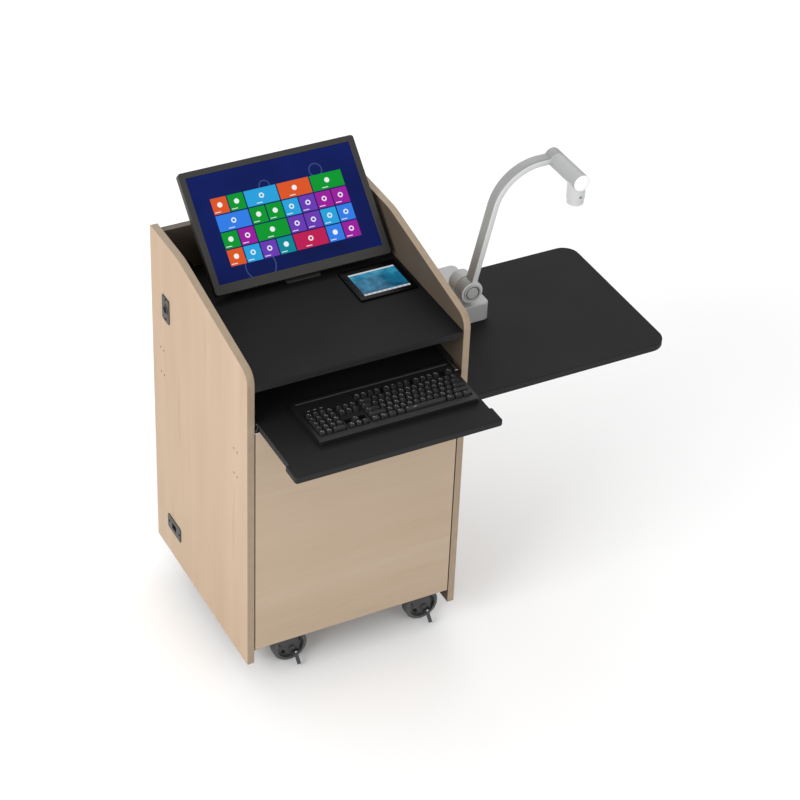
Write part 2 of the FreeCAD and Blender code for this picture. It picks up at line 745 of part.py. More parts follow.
# rows of keys from the front, each key's width in key pitches, gaps negative
KEY_ROWS = {
    "main_keys": [
        [1.25, 1.25, 1.25, 1.25, -6.25, 1.25, 1.25, 1.25],
        [2.75] + [1] * 10 + [2.25],
        [2.25] + [1] * 11 + [1.75],
        [1.5] + [1] * 12 + [1.5],
        [2] + [1] * 13,
    ],
    "space_bar": [[6.25]],
    "number_pad_keys": [[1, 1, 2], [1] * 4, [1] * 4, [1] * 4, [1] * 4],
    "arrow_keys": [[1, 1, 1], [-1, 1, -1]],
    "navigation_keys": [[1, 1, 1], [1, 1, 1]],
    "function_keys": [[1] * 4 + [-0.5] + [1] * 4 + [-0.5] + [1] * 4 + [-1, 1]],
}
PAD_LEFT = "(board_x - board_width/2 + key_side)"
NAV_LEFT = f"({PAD_LEFT} + 4*key_pitch + block_gap)"
MAIN_LEFT = f"({NAV_LEFT} + 3*key_pitch + block_gap)"
KEYS_FRONT = "(board_front + key_front)"
KEY_PLACES = {
    "main_keys": (MAIN_LEFT, KEYS_FRONT),
    "space_bar": (f"{MAIN_LEFT} + 5*key_pitch", KEYS_FRONT),
    "number_pad_keys": (PAD_LEFT, KEYS_FRONT),
    "arrow_keys": (NAV_LEFT, KEYS_FRONT),
    "navigation_keys": (NAV_LEFT, f"{KEYS_FRONT} + 3*key_pitch"),
    "function_keys": (MAIN_LEFT, f"{KEYS_FRONT} + 5*key_pitch + block_gap"),
}


def key_block(name):
    """The keycaps of one block, joined by the sheet that carries them."""
    left, front = (value(text) for text in KEY_PLACES[name])
    pitch, gap = value("key_pitch"), value("key_gap")
    low = value("tray_top + well_floor + key_lift")
    middle = low + value("sheet_thick")
    top = value("tray_top + board_thick + key_rise")
    trim = gap / 2 if name == "space_bar" else 0
    solids = []
    for number, widths in enumerate(KEY_ROWS[name]):
        x = left
        y = front + number * pitch
        for width in widths:
            span = abs(width) * pitch
            if width > 0:
                corner = FreeCAD.Vector(x + gap / 2, y + gap / 2, middle)
                solids.append(Part.makeBox(span - gap, pitch - gap, top - middle, corner))
                sheet = FreeCAD.Vector(x + trim, y + trim, low)
                solids.append(Part.makeBox(span - 2 * trim, pitch - 2 * trim, middle - low, sheet))
            x += span
    block = doc.addObject("Part::Feature", name + "_block")
    block.Shape = solids[0].multiFuse(solids[1:]).removeSplitter()
    block.Placement = FreeCAD.Placement()
    return block


def key_well(name):
    """Room in the case for one block of keys."""
    left, front = KEY_PLACES[name]
    rows = KEY_ROWS[name]
    width = max(sum(abs(key) for key in row) for row in rows)
    return box(name + "_well", (f"{left} - 1", f"{front} - 1", "tray_top + well_floor"),
               (f"{left} + {width}*key_pitch + 1", f"{front} + {len(rows)}*key_pitch + 1",
                "tray_top + board_thick + 1"))


def keyboard():
    outline = rectangle("board_x - board_width/2", "board_front", "board_x + board_width/2",
                        "board_front + board_depth", "6")
    case = slab("board_case", "XY", outline, "tray_top", "board_thick")
    soften(case, "2", lambda spot: near(spot.z, "tray_top + board_thick"))
    wells = [key_well(name) for name in KEY_ROWS if name != "space_bar"]
    node("keyboard_case", [cut("case_with_wells", case, wells)])
    for name in KEY_ROWS:
        node(name, [key_block(name)])


# ---------------------------------------------------------------- monitor
def monitor():
    """Built upright from the middle of its lower front edge, then leaned back."""
    place = {"at": ("mon_x", MON_Y, "mon_z"), "lean": "mon_tilt"}
    half, glass = "mon_width/2", "screen_width/2"
    high = "screen_low + screen_height"
    frame = slab("bezel_block", "XZ", rectangle(f"-{half}", "0", half, "mon_height", "8"), "0", "mon_edge")
    window = box("bezel_window", (f"-{glass}", "-1", "screen_low"), (glass, "mon_edge + 1", high))
    seat = box("bezel_seat", (f"-{glass} - 3", "lip_thick", "screen_low - 3"),
               (f"{glass} + 3", "mon_edge + 1", f"{high} + 3"))
    node("monitor_bezel", [cut("bezel_frame", frame, [window, seat])], **place)
    node("monitor_screen", [box("screen_panel", (f"-{glass} - 2.5", "lip_thick", "screen_low - 2.5"),
                                (f"{glass} + 2.5", "mon_edge", f"{high} + 2.5"))], **place)
    body = doc.addObject("PartDesign::Body", "back_body")
    wide = new_sketch(body, "XZ", "-mon_edge")
    draw(wide, rectangle(f"-{half} + 8", "8", f"{half} - 8", "mon_height - 8", "8"))
    narrow = new_sketch(body, "XZ", "-mon_depth")
    draw(narrow, rectangle(f"-{half} + 90", "66", f"{half} - 90", "mon_height - 66", "20"))
    loft = body.newObject("PartDesign::AdditiveLoft", "back_loft")
    loft.Profile = wide
    loft.Sections = [narrow]
    loft.Ruled = True
    node("monitor_back_shell", [body], **place)
    axis = ("hinge_back", "hinge_up")
    low = f"{axis[1]} - 17"
    plate = slab("vesa_plate", "XZ", rectangle("-vesa_size/2", low, "vesa_size/2",
                                               f"{low} + vesa_size + 44", "6"), "mon_depth", "4")
    barrel = rod("tilt_barrel", "x", ("-29",) + axis, "barrel_radius", "58")
    web = box("tilt_web", ("-29", "mon_depth + 3", f"{axis[1]} - 7"), ("29", axis[0], f"{axis[1]} + 7"))
    bore = rod("tilt_bore", "x", ("-30",) + axis, f"hinge_pin + {RUNNING}", "60")
    bracket = cut("tilt_bracket", join("tilt_solid", [plate, barrel, web]), [bore])
    node("monitor_bracket", [bracket], **place)


def monitor_foot():
    """Plate on the worktop with two ears and the pin that the monitor tilts on."""
    axis_y = f"({MON_Y} + hinge_back*cos(mon_tilt) + hinge_up*sin(mon_tilt))"
    axis_z = "(mon_z - hinge_back*sin(mon_tilt) + hinge_up*cos(mon_tilt))"
    top = "worktop_top + foot_thick"
    outline = rectangle("mon_x - foot_half", FOOT_FRONT, "mon_x + foot_half", FOOT_BACK, "5")
    pieces = [slab("foot_plate", "XY", outline, "worktop_top", "foot_thick")]
    for name, start in (("left", "mon_x - 36"), ("right", "mon_x + 30")):
        pieces.append(box(f"foot_{name}_ear", (start, f"{axis_y} - 10", top),
                          (f"{start} + 6", f"{axis_y} + 10", axis_z)))
        pieces.append(rod(f"foot_{name}_eye", "x", (start, axis_y, axis_z), "10", "6"))
    pieces.append(rod("foot_pin", "x", ("mon_x - 39", axis_y, axis_z), "hinge_pin", "78"))
    node("monitor_foot", [join("foot_solid", pieces)])
    middle = f"({FOOT_FRONT} + {FOOT_BACK})/2"
    heads = [
        rod(f"foot_screw_{across + 1}{along + 1}", "z",
            (f"mon_x + {across}*(foot_half - 9)", f"{middle} + {along}*52", top), "4", "2")
        for across in (-1, 1)
        for along in (-1, 1)
    ]
    node("monitor_foot_screws", heads)


# ---------------------------------------------------------------- touch panel
def touch_panel():
    top = "worktop_top + panel_rise"
    right, back = "panel_left + panel_width", "panel_front + panel_depth"
    frame = slab("panel_frame", "XY", rectangle("panel_left", "panel_front", right, back, "4"),
                 "worktop_top", "panel_rise")
    soften(frame, "1.5", lambda spot: near(spot.z, top))
    glass_right, glass_back = "glass_left + glass_width", "glass_front + glass_depth"
    wells = [box("glass_seat", ("glass_left - 0.3", "glass_front - 0.3", f"{top} - 2.5"),
                 (f"{glass_right} + 0.3", f"{glass_back} + 0.3", f"{top} + 1"))]
    keys = []
    for number in range(5):
        front = f"glass_front + 4 + {number}*19"
        left = "(panel_left + glass_left)/2 - 4.5"
        wells.append(box(f"touch_well_{number}", (left, front, f"{top} - 3"),
                         (f"{left} + 8", f"{front} + 13", f"{top} + 1")))
        keys.append(box(f"touch_key_{number}", (f"{left} + 0.3", f"{front} + 0.3", f"{top} - 2"),
                        (f"{left} + 7.7", f"{front} + 12.7", f"{top} + 0.6")))
    node("touch_panel_frame", [cut("panel_frame_cut", frame, wells)])
    node("touch_panel_glass", [box("panel_glass", ("glass_left", "glass_front", f"{top} - 2.5"),
                                   (glass_right, glass_back, f"{top} - 0.6"))])
    node("touch_panel_keys", keys)


# ---------------------------------------------------------------- side shelf
BRACKETS = {"front": "spare_y", "rear": "(shelf_depth - spare_y)"}
BOLTS_Z = "(spare_z - 10)"


def shelf():
    outline = [
        (SHELF_LEFT, "0"),
        (f"{SHELF_LEFT} + shelf_width", "0", "shelf_corner"),
        (f"{SHELF_LEFT} + shelf_width", "shelf_depth", "shelf_corner"),
        (SHELF_LEFT, "shelf_depth"),
    ]
    node("shelf_board", [slab("shelf_slab", "XY", outline, "shelf_top - shelf_thick", "shelf_thick")])
    legs, bolts, arms, struts, screws = [], [], [], [], []
    for name, y in BRACKETS.items():
        legs.append(wall_leg(name, y))
        arms.append(bracket_arm(name, y))
        struts.append(strut(name, y))
        bolts += [
            rod(f"{name}_bolt_{n}", "x", ("cab_width/2 + bracket_metal", spot_y, spot_z), "5", "3")
            for n, (spot_y, spot_z) in enumerate(bolt_places(y, BOLTS_Z))
        ]
        screws += [
            rod(f"{name}_screw_{n}", "z",
                (f"{PIVOT_X} + {30 + 90*n}", f"{y} + {8.5*(-1)**n}",
                 "shelf_top - shelf_thick - bracket_metal - 2"), "3", "2")
            for n in range(3)
        ]
    node("bracket_wall_legs", legs)
    node("bracket_wall_bolts", bolts)
    node("bracket_arms", arms)
    node("bracket_struts", struts)
    node("shelf_screws", screws)


def wall_leg(name, y):
    """Channel on the side panel with two ears and the shelf's pivot pin."""
    low = ("cab_width/2", f"{y} - bracket_width/2", "wall_leg_low")
    high = ("cab_width/2 + 10", f"{y} + bracket_width/2", f"{PIVOT_Z} + 7")
    pieces = [channel(f"{name}_wall_channel", low, high, 2, 1, "bracket_metal")]
    edge = "bracket_width/2"
    for side, start in (("near", f"{y} - {edge}"), ("far", f"{y} + {edge} - bracket_metal")):
        pieces.append(box(f"{name}_{side}_lug", ("cab_width/2", start, f"{PIVOT_Z} - 7"),
                          (PIVOT_X, f"{start} + bracket_metal", f"{PIVOT_Z} + 7")))
        pieces.append(rod(f"{name}_{side}_eye", "y", (PIVOT_X, start, PIVOT_Z), "7", "bracket_metal"))
    pieces.append(rod(f"{name}_pivot_pin", "y", (PIVOT_X, f"{y} - bracket_width/2 - 2", PIVOT_Z), "3",
                      "bracket_width + 4"))
    return join(f"{name}_wall_leg", pieces)


def bracket_arm(name, y):
    """Channel under the shelf board, with the pin that carries the strut."""
    low = (f"{PIVOT_X} - 8", f"{y} - arm_width/2", f"{PIVOT_Z} - 8")
    high = (f"{PIVOT_X} - 8 + arm_length", f"{y} + arm_width/2", "shelf_top - shelf_thick")
    rail = channel(f"{name}_arm_channel", low, high, 0, -3, "bracket_metal")
    pin = rod(f"{name}_strut_pin", "y", (f"{PIVOT_X} + strut_at", f"{y} - arm_width/2", PIVOT_Z), "2",
              "arm_width")
    bore = rod(f"{name}_arm_bore", "y", (PIVOT_X, f"{y} - arm_width", PIVOT_Z), f"3 + {RUNNING}",
               "2*arm_width")
    return cut(f"{name}_arm", join(f"{name}_arm_solid", [rail, pin]), [bore])


def strut(name, y):
    """Flat stay from the arm down to the wall leg, where its end rests in the channel."""
    length = "strut_reach/cos(strut_angle)"
    bar = doc.addObject("Part::Box", f"{name}_stay")
    bind(bar, "Length", length)
    bind(bar, "Width", "8")
    bind(bar, "Height", "2*strut_half")
    bar.Placement = FreeCAD.Placement(FreeCAD.Vector(), FreeCAD.Rotation(FreeCAD.Vector(0, 1, 0), 1))
    bind(bar, "Placement.Rotation.Angle", "180 - strut_angle")
    bind_place(bar, (f"{PIVOT_X} + strut_at - strut_half*sin(strut_angle)", f"{y} - 4",
                     f"{PIVOT_Z} + strut_half*cos(strut_angle)"))
    top = (f"{PIVOT_X} + strut_at", f"{y} - 4", PIVOT_Z)
    foot = (f"{top[0]} - strut_reach", top[1], f"{PIVOT_Z} - strut_reach*tan(strut_angle)")
    ends = [
        rod(f"{name}_stay_{end}", "y", spot, "strut_half", "8")
        for end, spot in (("top", top), ("foot", foot))
    ]
    bore = rod(f"{name}_stay_bore", "y", (top[0], f"{y} - 5", top[2]), f"2 + {RUNNING}", "10")
    return cut(f"{name}_strut", join(f"{name}_strut_solid", [bar] + ends), [bore])


# ---------------------------------------------------------------- document camera
def camera():
    right, back = "base_left + base_width", "base_front + base_depth"
    base_top = "shelf_top + base_height"
    base = slab("base_block", "XY", rectangle("base_left", "base_front", right, back, "base_corner"),
                "shelf_top", "base_height")
    soften(base, "4", lambda spot: near(spot.z, base_top))
    node("camera_base", [base])
    drum_start = f"{HUB_BACK} + 1"
    hub = ("hub_x", drum_start, HUB_Z)
    drum = rod("hub_drum", "y", hub, "hub_radius", "arm_depth")
    post = box("hub_post", ("hub_x - 22", drum_start, base_top),
               ("hub_x + 22", f"{drum_start} + arm_depth", HUB_Z))
    pin = rod("hub_pin", "y", ("hub_x", "hub_front + 6", HUB_Z), "6", "arm_depth")
    node("camera_hub", [join("hub_solid", [drum, post, pin])])
    node("camera_arm", [camera_arm()])
    node("camera_hub_cap", [rod("hub_cap", "y", ("hub_x", "hub_front - 4", HUB_Z), "hub_radius - 7", "4")])
    tube = rod("head_tube", "y", ("head_x", "head_front", HEAD_Z), "head_radius",
               "hub_front - 2 - head_front")
    spigot = rod("head_spigot", "y", ("head_x", "hub_front - 3", HEAD_Z), "8", "25")
    node("camera_head", [join("head_solid", [tube, spigot])])
    node("camera_head_cap", [rod("head_cap", "y", ("head_x", "head_front - cap_thick", HEAD_Z),
                                 "head_radius", "cap_thick")])
    barrel_end = f"{HEAD_Z} - barrel_low"
    barrel = rod("barrel_block", "z", ("head_x", "barrel_y", barrel_end), "lens_barrel", "barrel_low - 4")
    room = rod("barrel_saddle", "y", ("head_x", "barrel_y - 40", HEAD_Z), "head_radius", "80")
    button_y = "barrel_y - lens_barrel"
    socket = rod("button_socket", "y", ("head_x", f"{button_y} - 5", f"{barrel_end} + 10"), "3.4", "10")
    spigot = rod("ring_spigot", "z", ("head_x", "barrel_y", f"{barrel_end} - 7.5"), "8", "10")
    node("camera_barrel", [cut("barrel_piece", join("barrel_solid", [barrel, spigot]), [room, socket])])
    node("camera_button", [rod("button_pin", "y", ("head_x", f"{button_y} - 1.4", f"{barrel_end} + 10"),
                               "3.2", "4")])
    ring_low = f"{barrel_end} - 0.5 - ring_height"
    ring = rod("ring_block", "z", ("head_x", "barrel_y", ring_low), "ring_radius", "ring_height")
    recess = rod("ring_recess", "z", ("head_x", "barrel_y", f"{ring_low} - 1"), "lens_radius", "7")
    bore = rod("ring_bore", "z", ("head_x", "barrel_y", f"{ring_low} + ring_height - 8"),
               f"8 + {RUNNING}", "9")
    node("camera_focus_ring", [cut("ring_piece", ring, [recess, bore])])
    lens = rod("lens_glass", "z", ("head_x", "barrel_y", f"{ring_low} + 2"), "lens_radius", "4")
    node("camera_lens", [lens])


def camera_arm():
    """Flat bar that leans, bends over and ends in a collar, with a drum on its pivot."""
    half = "arm_thick/2"
    lean = "tan(arm_lean)"
    rise_out, rise_in = f"(arm_rise + {half})", f"(arm_rise - {half})"
    shift = f"{half}/cos(arm_lean)"
    outline = [
        (f"hub_x - {half}*cos(arm_lean)", f"{HUB_Z} + {half}*sin(arm_lean)"),
        (f"hub_x + {half}*cos(arm_lean)", f"{HUB_Z} - {half}*sin(arm_lean)"),
        (f"hub_x + {rise_in}*{lean} + {shift}", f"{HUB_Z} + {rise_in}", f"arm_bend - {half}"),
        ("head_x", f"{HUB_Z} + {rise_in}"),
        ("head_x", f"{HUB_Z} + {rise_out}"),
        (f"hub_x + {rise_out}*{lean} - {shift}", f"{HUB_Z} + {rise_out}", f"arm_bend + {half}"),
    ]
    bar = slab("arm_bar", "XZ", outline, "hub_front", "arm_depth")
    drum = rod("arm_drum", "y", ("hub_x", "hub_front", HUB_Z), "hub_radius", "arm_depth")
    collar = rod("arm_collar", "y", ("head_x", "hub_front", HEAD_Z), "head_radius", "arm_depth - 3")
    bores = [
        rod("arm_pivot_bore", "y", ("hub_x", "hub_front + 5", HUB_Z), f"6 + {RUNNING}", "arm_depth"),
        rod("arm_head_bore", "y", ("head_x", "hub_front - 1", HEAD_Z), f"8 + {RUNNING}", "25"),
    ]
    return cut("arm_piece", join("arm_solid", [bar, drum, collar]), bores)


# ---------------------------------------------------------------- build, check and write
def main():
    cabinet()
    ports()
    door()
    casters()
    tray()
    keyboard()
    monitor()
    monitor_foot()
    touch_panel()
    shelf()
    camera()
    doc.recompute()
    failed = [thing.Name for thing in doc.Objects if {"Invalid", "Error"} & set(thing.State)]
    if failed:
        raise RuntimeError(f"failed objects: {failed}")
    for part in NODES:
        if part.Shape.isNull() or not part.Shape.isValid() or not part.Shape.Solids:
            raise RuntimeError(f"{part.Label}: no valid solid")
    os.makedirs("parts", exist_ok=True)
    for part in NODES:
        part.Shape.exportStep(f"parts/{part.Label}.step")
    print(f"{len(NODES)} nodes written")


main()
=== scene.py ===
"""Lectern stand on casters: finishes for its boards, metal and plastic, and the small pieces
that need more shape than the frame gives them.  Metres, in the frame's own axes; the profiles
of turned pieces are in millimetres."""
import math

import bmesh
import bpy
import numpy as np
from mathutils import Matrix, Vector
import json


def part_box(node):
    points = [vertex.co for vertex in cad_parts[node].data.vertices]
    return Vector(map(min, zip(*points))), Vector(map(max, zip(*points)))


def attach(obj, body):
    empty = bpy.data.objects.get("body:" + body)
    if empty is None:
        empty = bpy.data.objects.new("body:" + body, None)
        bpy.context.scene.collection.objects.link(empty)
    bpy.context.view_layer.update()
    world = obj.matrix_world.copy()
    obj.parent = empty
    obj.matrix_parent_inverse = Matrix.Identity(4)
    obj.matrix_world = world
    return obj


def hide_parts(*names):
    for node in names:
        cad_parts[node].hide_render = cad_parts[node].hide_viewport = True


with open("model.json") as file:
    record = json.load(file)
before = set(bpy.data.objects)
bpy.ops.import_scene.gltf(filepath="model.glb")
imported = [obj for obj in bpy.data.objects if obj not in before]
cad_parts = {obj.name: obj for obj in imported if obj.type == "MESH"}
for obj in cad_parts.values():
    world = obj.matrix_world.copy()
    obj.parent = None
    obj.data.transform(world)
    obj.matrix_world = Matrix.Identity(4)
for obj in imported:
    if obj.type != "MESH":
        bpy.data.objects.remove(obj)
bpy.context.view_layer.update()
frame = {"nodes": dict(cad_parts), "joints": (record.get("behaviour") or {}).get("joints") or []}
MM = 0.001
NODES = frame["nodes"]
JOINTS = {joint["name"]: joint for joint in frame["joints"]}


def pivot(name):
    """Where a joint's axis passes, as an array."""
    return np.array(JOINTS[name]["pos_m"], float)


def corners(node):
    """Lowest and highest corner of a node, as arrays."""
    low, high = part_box(node)
    return np.array(low, float), np.array(high, float)


# ---------------------------------------------------------------- shader maths
class Term:
    """A socket of a material; arithmetic on it adds Math nodes."""

    def __init__(self, finish, socket):
        self.finish = finish
        self.socket = socket

    def maths(self, operation, *others):
        values = dict(enumerate((self,) + others))
        return self.finish.node("Math", {"operation": operation}, values)

    def __add__(self, other):
        return self.maths("ADD", other)

    def __sub__(self, other):
        return self.maths("SUBTRACT", other)

    def __mul__(self, other):
        return self.maths("MULTIPLY", other)

    def __truediv__(self, other):
        return self.maths("DIVIDE", other)

    def __rsub__(self, other):
        return self.finish.node("Math", {"operation": "SUBTRACT"}, {0: other, 1: self})

    __radd__ = __add__
    __rmul__ = __mul__

    def __gt__(self, other):
        return self.maths("GREATER_THAN", other)

    def __lt__(self, other):
        return self.maths("LESS_THAN", other)

    def __abs__(self):
        return self.maths("ABSOLUTE")

    def floor(self):
        return self.maths("FLOOR")

    def fract(self):
        return self.maths("FRACT")

    def root(self):
        return self.maths("SQRT")

    def clamp(self):
        return self.finish.node("Clamp", {}, {0: self})


class Finish:
    """One material and its nodes."""

    def __init__(self, name, **constants):
        self.material = bpy.data.materials.new(name)
        self.material.use_nodes = True
        self.tree = self.material.node_tree
        self.surface = self.tree.nodes["Principled BSDF"]
        self.place = None
        for socket, number in constants.items():
            self.surface.inputs[socket.replace("_", " ")].default_value = number

    def node(self, kind, settings, inputs, out=0):
        """Any node: its settings first, then the values or links of its sockets."""
        made = self.tree.nodes.new("ShaderNode" + kind)
        for name, setting in settings.items():
            if name == "stops":
                ramp = made.color_ramp.elements
                while len(ramp) < len(setting):
                    ramp.new(0.5)
                for element, (position, colour) in zip(ramp, setting):
                    element.position = position
                    element.color = (*colour, 1)
            elif name == "interpolation":
                made.color_ramp.interpolation = setting
            else:
                setattr(made, name, setting)
        for name, given in inputs.items():
            self.join(given, made.inputs[name])
        return Term(self, made.outputs[out])

    def join(self, given, socket):
        if isinstance(given, Term):
            self.tree.links.new(given.socket, socket)
        elif isinstance(given, tuple) and socket.type == "RGBA" and len(given) == 3:
            socket.default_value = (*given, 1)
        else:
            socket.default_value = given

    def set(self, name, given):
        self.join(given, self.surface.inputs[name])

    def point(self):
        """Object coordinates as a vector."""
        if self.place is None:
            self.place = self.node("TexCoord", {}, {}, "Object")
        return self.place

    def split(self, vector):
        first = self.node("SeparateXYZ", {}, {0: vector})
        outputs = first.socket.node.outputs
        return [Term(self, outputs[index]) for index in range(3)]

    def vector(self, x, y, z):
        return self.node("CombineXYZ", {}, {0: x, 1: y, 2: z})

    def noise(self, scale, detail=2.0, stretch=(1, 1, 1), source=None):
        where = self.node("VectorMath", {"operation": "MULTIPLY"},
                          {0: source or self.point(), 1: stretch})
        return self.node("TexNoise", {}, {"Vector": where, "Scale": scale, "Detail": detail})

    def mix(self, factor, first, second):
        """Colour between two colours."""
        return self.node("Mix", {"data_type": "RGBA"}, {0: factor, 6: first, 7: second}, 2)

    def ramp(self, value, stops, interpolation="LINEAR"):
        return self.node("ValToRGB", {"stops": stops, "interpolation": interpolation}, {0: value})

    def normal(self):
        """The face's own direction, in the object's axes."""
        return self.split(self.node("TexCoord", {}, {}, "Normal"))

    def bump(self, height, distance, strength=1.0):
        self.set("Normal", self.node("Bump", {}, {"Height": height, "Distance": distance,
                                                  "Strength": strength}))

    def inside(self, value, low, high):
        """1 where low < value < high."""
        return (value > low) * (value < high)


# ---------------------------------------------------------------- finishes
def scaled(colour, share):
    """The same hue, lighter or darker."""
    return tuple(share * n for n in colour)


def maple(name, along, light, dark, edge, edge_axis, inner=0, streaks=0.6):
    """Maple laminate: long soft figure, fine fibres along one axis, an edge band, and a darker
    brown of painted shade on the face that looks to inner (-1 or 1) along the edge axis."""
    finish = Finish(name, Roughness=0.46, Specular_IOR_Level=0.35)
    figure_scale = tuple(1.1 if axis == along else 14.0 for axis in "xyz")
    fibre_scale = tuple(9.0 if axis == along else 380.0 for axis in "xyz")
    broad = finish.noise(1.0, 4.0, figure_scale)
    fine = finish.noise(1.0, 2.0, fibre_scale)
    patch = finish.noise(3.2, 2.0)
    tone = broad * 0.55 + fine * 0.25 + patch * 0.2
    middle = tuple((a + b) / 2 for a, b in zip(light, dark))
    figure = finish.ramp(tone, [(0.34, dark), (0.5, middle), (0.64, light)])
    streak = finish.ramp(finish.noise(1.0, 3.0, scaled(figure_scale, 2.4)),
                         [(0.62, (1, 1, 1)), (0.72, (0.86, 0.81, 0.75))])
    wood = finish.node("Mix", {"data_type": "RGBA", "blend_type": "MULTIPLY"},
                       {0: streaks, 6: figure, 7: streak}, 2)
    facing = finish.normal()["xyz".index(edge_axis)]
    if inner:
        # painted shade: the face turned to the inside gets a darker brown that stands for the shade inside
        # the cabinet
        painted_shade_brown = finish.mix(broad, (0.078, 0.060, 0.043), (0.104, 0.080, 0.058))
        wood = finish.mix(facing * inner > 0.6, wood, painted_shade_brown)
    band = finish.mix(finish.noise(60.0, 2.0), edge, scaled(edge, 0.8))
    finish.set("Base Color", finish.mix(abs(facing) > 0.6, band, wood))
    finish.set("Roughness", 0.42 + fine * 0.14)
    finish.bump(fine, 0.00006)
    return finish.material


def laminate(name, colour, edge):
    """Black board with a pebbled face, dusty patches and a slightly paler edge of painted highlight."""
    finish = Finish(name, Specular_IOR_Level=0.12)
    pebble = finish.noise(900.0, 3.0)
    haze = finish.noise(5.0, 3.0)
    speck = finish.noise(1600.0, 0.0) > 0.66
    flat = abs(finish.normal()[2]) > 0.8
    top = finish.mix(haze, colour, scaled(colour, 1.35))
    top = finish.mix(speck * 0.5, top, scaled(colour, 2.4))
    # painted highlight: every face that is not flat gets the paler edge colour, standing for light caught
    # along the board's edges
    finish.set("Base Color", finish.mix(flat, edge, top))
    finish.set("Roughness", 0.5 + haze * 0.15 + pebble * 0.1)
    finish.bump(pebble, 0.0001, 0.7)
    return finish.material


def moulded(name, colour, roughness, depth=0.00003, coat=0.0, wear=0.12, shine=0.45, side=None):
    """Moulded plastic: fine spark texture with faint cloudy handling marks; faces that look
    along y may have a second colour, side, which is painted light."""
    finish = Finish(name, Coat_Weight=coat, Coat_Roughness=0.08, Specular_IOR_Level=shine)
    spark = finish.noise(1500.0, 2.0)
    cloud = finish.noise(22.0, 3.0)
    tone = finish.mix(cloud, scaled(colour, 1 - wear), colour)
    if side:
        # painted light: faces that look along y get the lighter side colour
        tone = finish.mix(abs(finish.normal()[1]) > 0.72, tone, side)
    finish.set("Base Color", tone)
    finish.set("Roughness", (roughness - 0.06) + cloud * 0.12)
    finish.bump(spark, depth)
    return finish.material


def metal(name, colour, roughness, brushed=(1, 1, 1), metallic=1.0, grain=900.0):
    """Metal with brushing or an orange-peel coat, and a little dulling."""
    finish = Finish(name, Metallic=metallic)
    lines = finish.noise(grain, 2.0, brushed)
    dull = finish.noise(30.0, 3.0)
    finish.set("Base Color", finish.mix(dull, scaled(colour, 0.72), colour))
    finish.set("Roughness", (roughness - 0.08) + lines * 0.1 + dull * 0.1)
    finish.bump(lines, 0.00003)
    return finish.material


def keycap_plastic():
    """Black keycaps with uneven wear, each with one or two short pale dashes on top."""
    finish = Finish("keycap_plastic", Specular_IOR_Level=0.3)
    flat = finish.node("UVMap", {}, {})
    u, v, _ = finish.split(flat)
    cell = finish.vector(u.floor(), v.floor(), 0.0)
    chance = finish.node("TexWhiteNoise", {"noise_dimensions": "2D"}, {0: cell})
    across, up = u.fract(), v.fract()
    first = finish.inside(across, 0.30, 0.48) * finish.inside(up, 0.56, 0.74)
    second = finish.inside(across, 0.54, 0.64) * finish.inside(up, 0.32, 0.5) * (chance > 0.5)
    top = finish.normal()[2] > 0.8
    mark = (first + second).clamp() * top
    worn = finish.noise(60.0, 2.0)
    plain = finish.mix(worn, (0.010, 0.010, 0.011), (0.022, 0.021, 0.021))
    finish.set("Base Color", finish.mix(mark * (0.25 + chance * 0.75), plain, (0.26, 0.25, 0.23)))
    finish.set("Roughness", 0.44 + worn * 0.2)
    finish.bump(finish.noise(1800.0, 1.0), 0.00002)
    return finish.material


TILE_COLOURS = [
    (0.0, (0.00, 0.30, 0.02)), (0.13, (0.00, 0.24, 0.30)), (0.27, (0.70, 0.09, 0.01)),
    (0.38, (0.03, 0.20, 0.78)), (0.55, (0.14, 0.04, 0.44)), (0.68, (0.50, 0.01, 0.08)),
    (0.78, (0.02, 0.35, 0.70)), (0.90, (0.32, 0.01, 0.33)),
]


